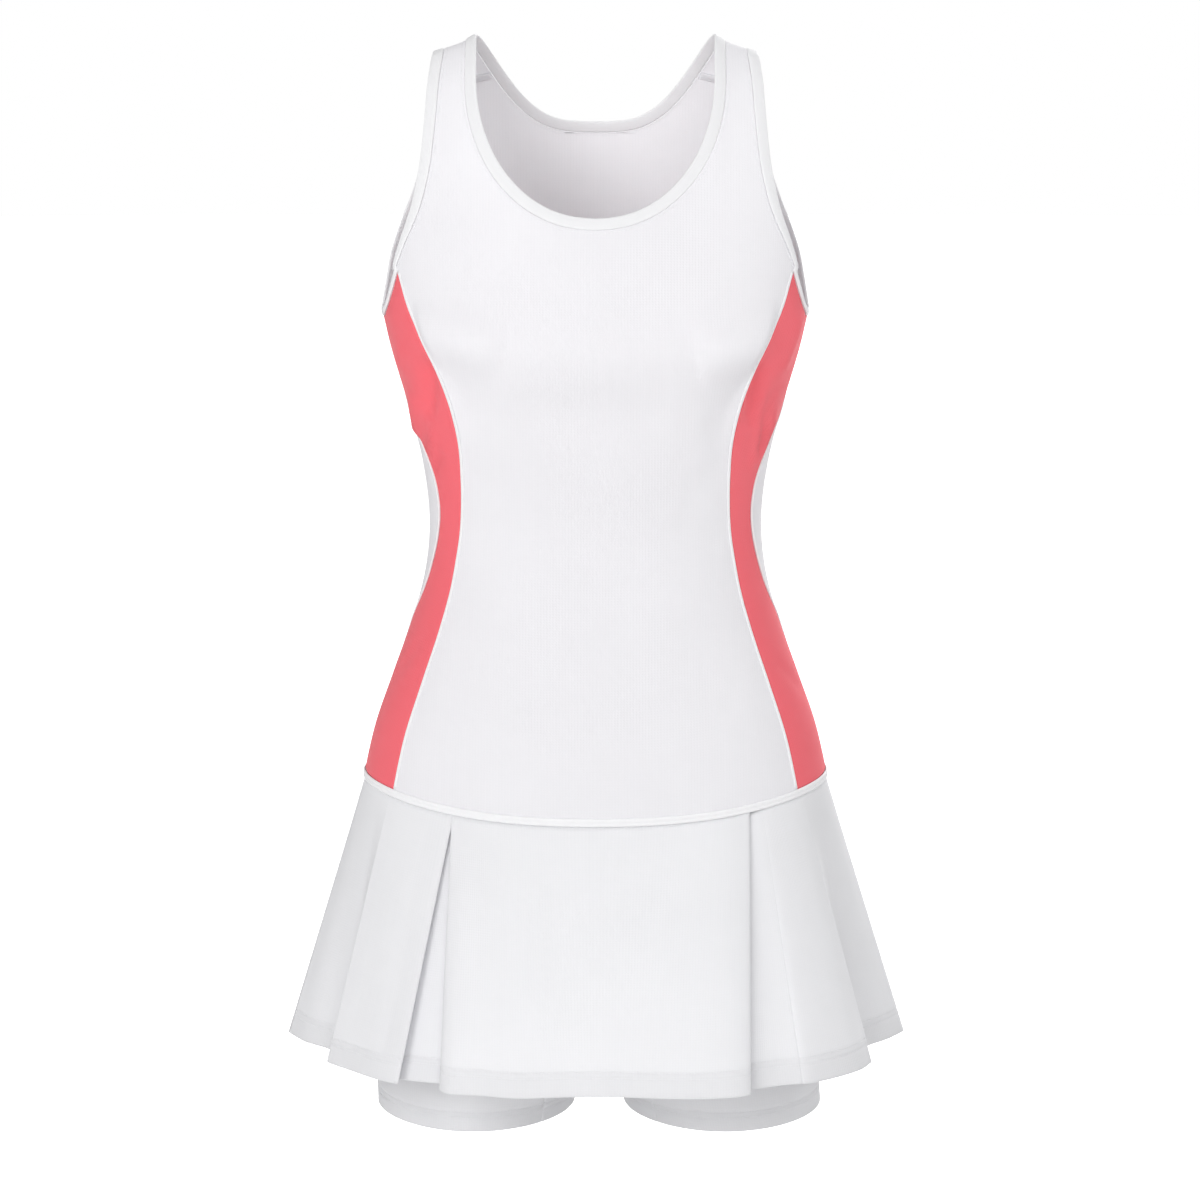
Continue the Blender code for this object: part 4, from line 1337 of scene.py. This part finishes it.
class DRESS_OT_side_panels(bpy.types.Operator):
    """Make the coral panels under the arms and the white piping along their seams"""

    bl_idname = "dress.side_panels"
    bl_label = "Side panels and piping"

    def execute(self, context):
        for word, side, creases in (("left", -1, LEFT_CREASES), ("right", 1, RIGHT_CREASES)):
            panel = side_panel(f"coral_side_{word}", side, creases)
            clothe(panel, "coral_knit", f"side_panel_{word}")
            strips = [
                clothe(piping(f"piping_{seam}_{word}", back, side, width), "white_binding")
                for seam, back, width in (("front", False, 2.9), ("back", True, 2.3))
            ]
        return {"FINISHED"}


class DRESS_OT_bindings(bpy.types.Operator):
    """Make the folded bindings of the neck and the armholes"""

    bl_idname = "dress.bindings"
    bl_label = "Bindings"

    def execute(self, context):
        stations = evened(neck_track(), STRIP_STEP, closed=True, hint=NECK_MIDDLE)
        neck = ribbon("neck_edge", stations, BINDING_PROFILE, closed=True)
        clothe(neck, "white_binding", "neck_binding")
        for word, side in SIDES:
            stations = evened(armhole_track(side), STRIP_STEP, closed=True, hint=arm_middle(side))
            armhole = ribbon(
                f"armhole_edge_{word}", stations, BINDING_PROFILE, closed=True,
                widths=armhole_widths(stations))
            clothe(armhole, "white_binding", f"armhole_binding_{word}")
            facing = underarm_facing(f"underarm_facing_{word}", side)
            clothe(facing, "white_binding")
        return {"FINISHED"}


class DRESS_OT_band(bpy.types.Operator):
    """Make the double corded band over the hip seam"""

    bl_idname = "dress.hip_band"
    bl_label = "Hip band"

    def execute(self, context):
        stations = [
            (point, normal, Vector((0, 0, 1)))
            for point, normal, _ in evened(hip_track(), STRIP_STEP, closed=True)
        ]
        cord = ribbon("hip_cord", stations, BAND_PROFILE, closed=True)
        clothe(cord, "white_binding", "hip_band")
        return {"FINISHED"}


class DRESS_OT_skirt(bpy.types.Operator):
    """Make the front and back of the pleated skirt"""

    bl_idname = "dress.skirt"
    bl_label = "Pleated skirt"

    def execute(self, context):
        for word, folds, area in (("front", SKIRT_FRONT, 0.176), ("back", SKIRT_BACK, 0.18)):
            piece = skirt_half(f"pleats_{word}", folds)
            clothe(piece, "white_weave", f"skirt_{word}")
        return {"FINISHED"}


class DRESS_OT_shorts(bpy.types.Operator):
    """Make the two halves of the inner shorts"""

    bl_idname = "dress.shorts"
    bl_label = "Inner shorts"

    def execute(self, context):
        for word, side in SIDES:
            piece = shorts_half(f"inner_shorts_{word}", side, LEG_CENTRES[word])
            clothe(piece, "white_weave", f"shorts_{word}")
        return {"FINISHED"}


class DRESS_OT_stitching(bpy.types.Operator):
    """Sew the hems and the edges of the bindings"""

    bl_idname = "dress.stitching"
    bl_label = "Stitching"

    def execute(self, context):
        step = STITCH / STITCH_STEPS
        rows = []
        for folds in (SKIRT_FRONT, SKIRT_BACK):
            for height in HEM_STITCHES:
                line = skirt_line(folds, height)[1:-1]
                track = [(p - n * THREAD_SUNK, n) for p, n in zip(line, line_normals(line))]
                rows.append(evened(track, step))
        stitched("hem_stitching", rows, "white_weave")
        rows = []
        for word, side in SIDES:
            for mark in LEG_STITCHES:
                track = []
                for k in range(1, SEAM_STEPS):
                    p, n = on_shorts(k / SEAM_STEPS, LEG_HEM + mark, LEG_CENTRES[word])
                    p -= n * THREAD_SUNK
                    track.append((Vector((side * p.x, p.y, p.z)), Vector((side * n.x, n.y, 0))))
                rows.append(evened(track, step))
        stitched("leg_stitching", rows, "white_weave")
        seams = [evened(neck_track(), step, closed=True, hint=NECK_MIDDLE)]
        seams += [evened(arm_line(side), step, hint=arm_middle(side)) for _, side in SIDES]
        rows = [
            [(point - aside * BESIDE_SEAM, normal, aside) for point, normal, aside in seam]
            for seam in seams
        ]
        rows += [overlock(side) for _, side in SIDES]
        stitched("binding_stitching", rows, "white_binding")
        return {"FINISHED"}


FLOOR_HEIGHT = -1.45
MIDDLE = Vector((0.0036, 0.0, -0.4475))     # what the camera and the lights look at
LIGHTS = (
    # name, which is also its power's in DressStage, place, width in metres
    ("key", (-1.5, -2.95, 0.7), 1.8),
    ("fill", (2.8, -0.4, 0.8), 1.6),
    ("front", (-0.05, -3.2, -0.6), 1.4),
    ("rear", (1.2, 3.0, 1.2), 2.0),
)


class DRESS_OT_stage(bpy.types.Operator):
    """Set the pale floor, the soft light and the camera"""

    bl_idname = "dress.stage"
    bl_label = "Stage"

    def execute(self, context):
        scene, stage = context.scene, context.scene.dress_stage
        bm = bmesh.new()
        bmesh.ops.create_circle(bm, cap_ends=True, segments=96, radius=30)
        bmesh.ops.translate(bm, verts=bm.verts, vec=(0, 0, FLOOR_HEIGHT))
        paper = bpy.data.materials.new("white studio paper")
        paper.use_nodes = True
        for name, value in (
            ("Base Color", srgb("#FDFDFD")), ("Roughness", 0.9),
            ("Emission Color", (1, 1, 1, 1)), ("Emission Strength", 1.0),
        ):
            paper.node_tree.nodes["Principled BSDF"].inputs[name].default_value = value
        floor = finished("floor", bm)
        floor.data.materials.append(paper)
        floor.visible_diffuse = False

        world = bpy.data.worlds.new("studio")
        scene.world = world
        world.use_nodes = True
        tree = world.node_tree
        tree.nodes.clear()
        path = add_node(tree, "LightPath")
        strength = add_node(tree, "MapRange", None, {
            "Value": (path, "Is Camera Ray"), "To Min": stage.surround, "To Max": 1.0})
        sky = add_node(tree, "Background", None, {
            "Color": (1, 1, 1, 1), "Strength": (strength, "Result")})
        add_node(tree, "OutputWorld", None, {"Surface": (sky, "Background")})

        for word, place, width in LIGHTS:
            light = bpy.data.lights.new(f"{word} light", "AREA")
            light.shape = "DISK"
            light.size = width
            light.energy = getattr(stage, word)
            lamp = bpy.data.objects.new(light.name, light)
            lamp.location = place
            lamp.rotation_euler = (MIDDLE - Vector(place)).to_track_quat("-Z", "Y").to_euler()
            scene.collection.objects.link(lamp)

        camera = bpy.data.cameras.new("camera")
        camera.lens = stage.lens
        camera.sensor_width = 36
        camera.clip_end = 200
        view = bpy.data.objects.new("camera", camera)
        back = Vector((0, -math.cos(stage.elevation), math.sin(stage.elevation)))
        view.location = MIDDLE + back * stage.distance
        view.rotation_euler = (math.pi / 2 - stage.elevation, 0, 0)
        scene.collection.objects.link(view)
        scene.camera = view
        scene.view_settings.view_transform = "Standard"
        return {"FINISHED"}


OPERATORS = (
    DRESS_OT_bodice, DRESS_OT_side_panels, DRESS_OT_bindings,
    DRESS_OT_band, DRESS_OT_skirt, DRESS_OT_shorts, DRESS_OT_stitching, DRESS_OT_stage,
)


class DRESS_PT_panel(bpy.types.Panel):
    """The dress's pieces and sizes"""

    bl_label = "Tennis dress"
    bl_idname = "DRESS_PT_panel"
    bl_space_type = "VIEW_3D"
    bl_region_type = "UI"
    bl_category = "Dress"

    def draw(self, context):
        for name in GROUPS:
            group = getattr(context.scene, name)
            for size in group.bl_rna.properties.keys():
                if size not in ("rna_type", "name"):
                    self.layout.prop(group, size)
        for operator in OPERATORS:
            self.layout.operator(operator.bl_idname)


GROUPS = {
    "dress_cloth": DressCloth, "dress_colours": DressColours, "dress_stage": DressStage,
}
CLASSES = (*GROUPS.values(), *OPERATORS, DRESS_PT_panel)


def register():
    for item in CLASSES:
        bpy.utils.register_class(item)
    for name, group in GROUPS.items():
        setattr(bpy.types.Scene, name, bpy.props.PointerProperty(type=group))


def unregister():
    for name in GROUPS:
        delattr(bpy.types.Scene, name)
    for item in reversed(CLASSES):
        bpy.utils.unregister_class(item)


def main():
    register()
    for operator in OPERATORS:
        group, action = operator.bl_idname.split(".")
        getattr(getattr(bpy.ops, group), action)()


if __name__ == "__main__":
    main()
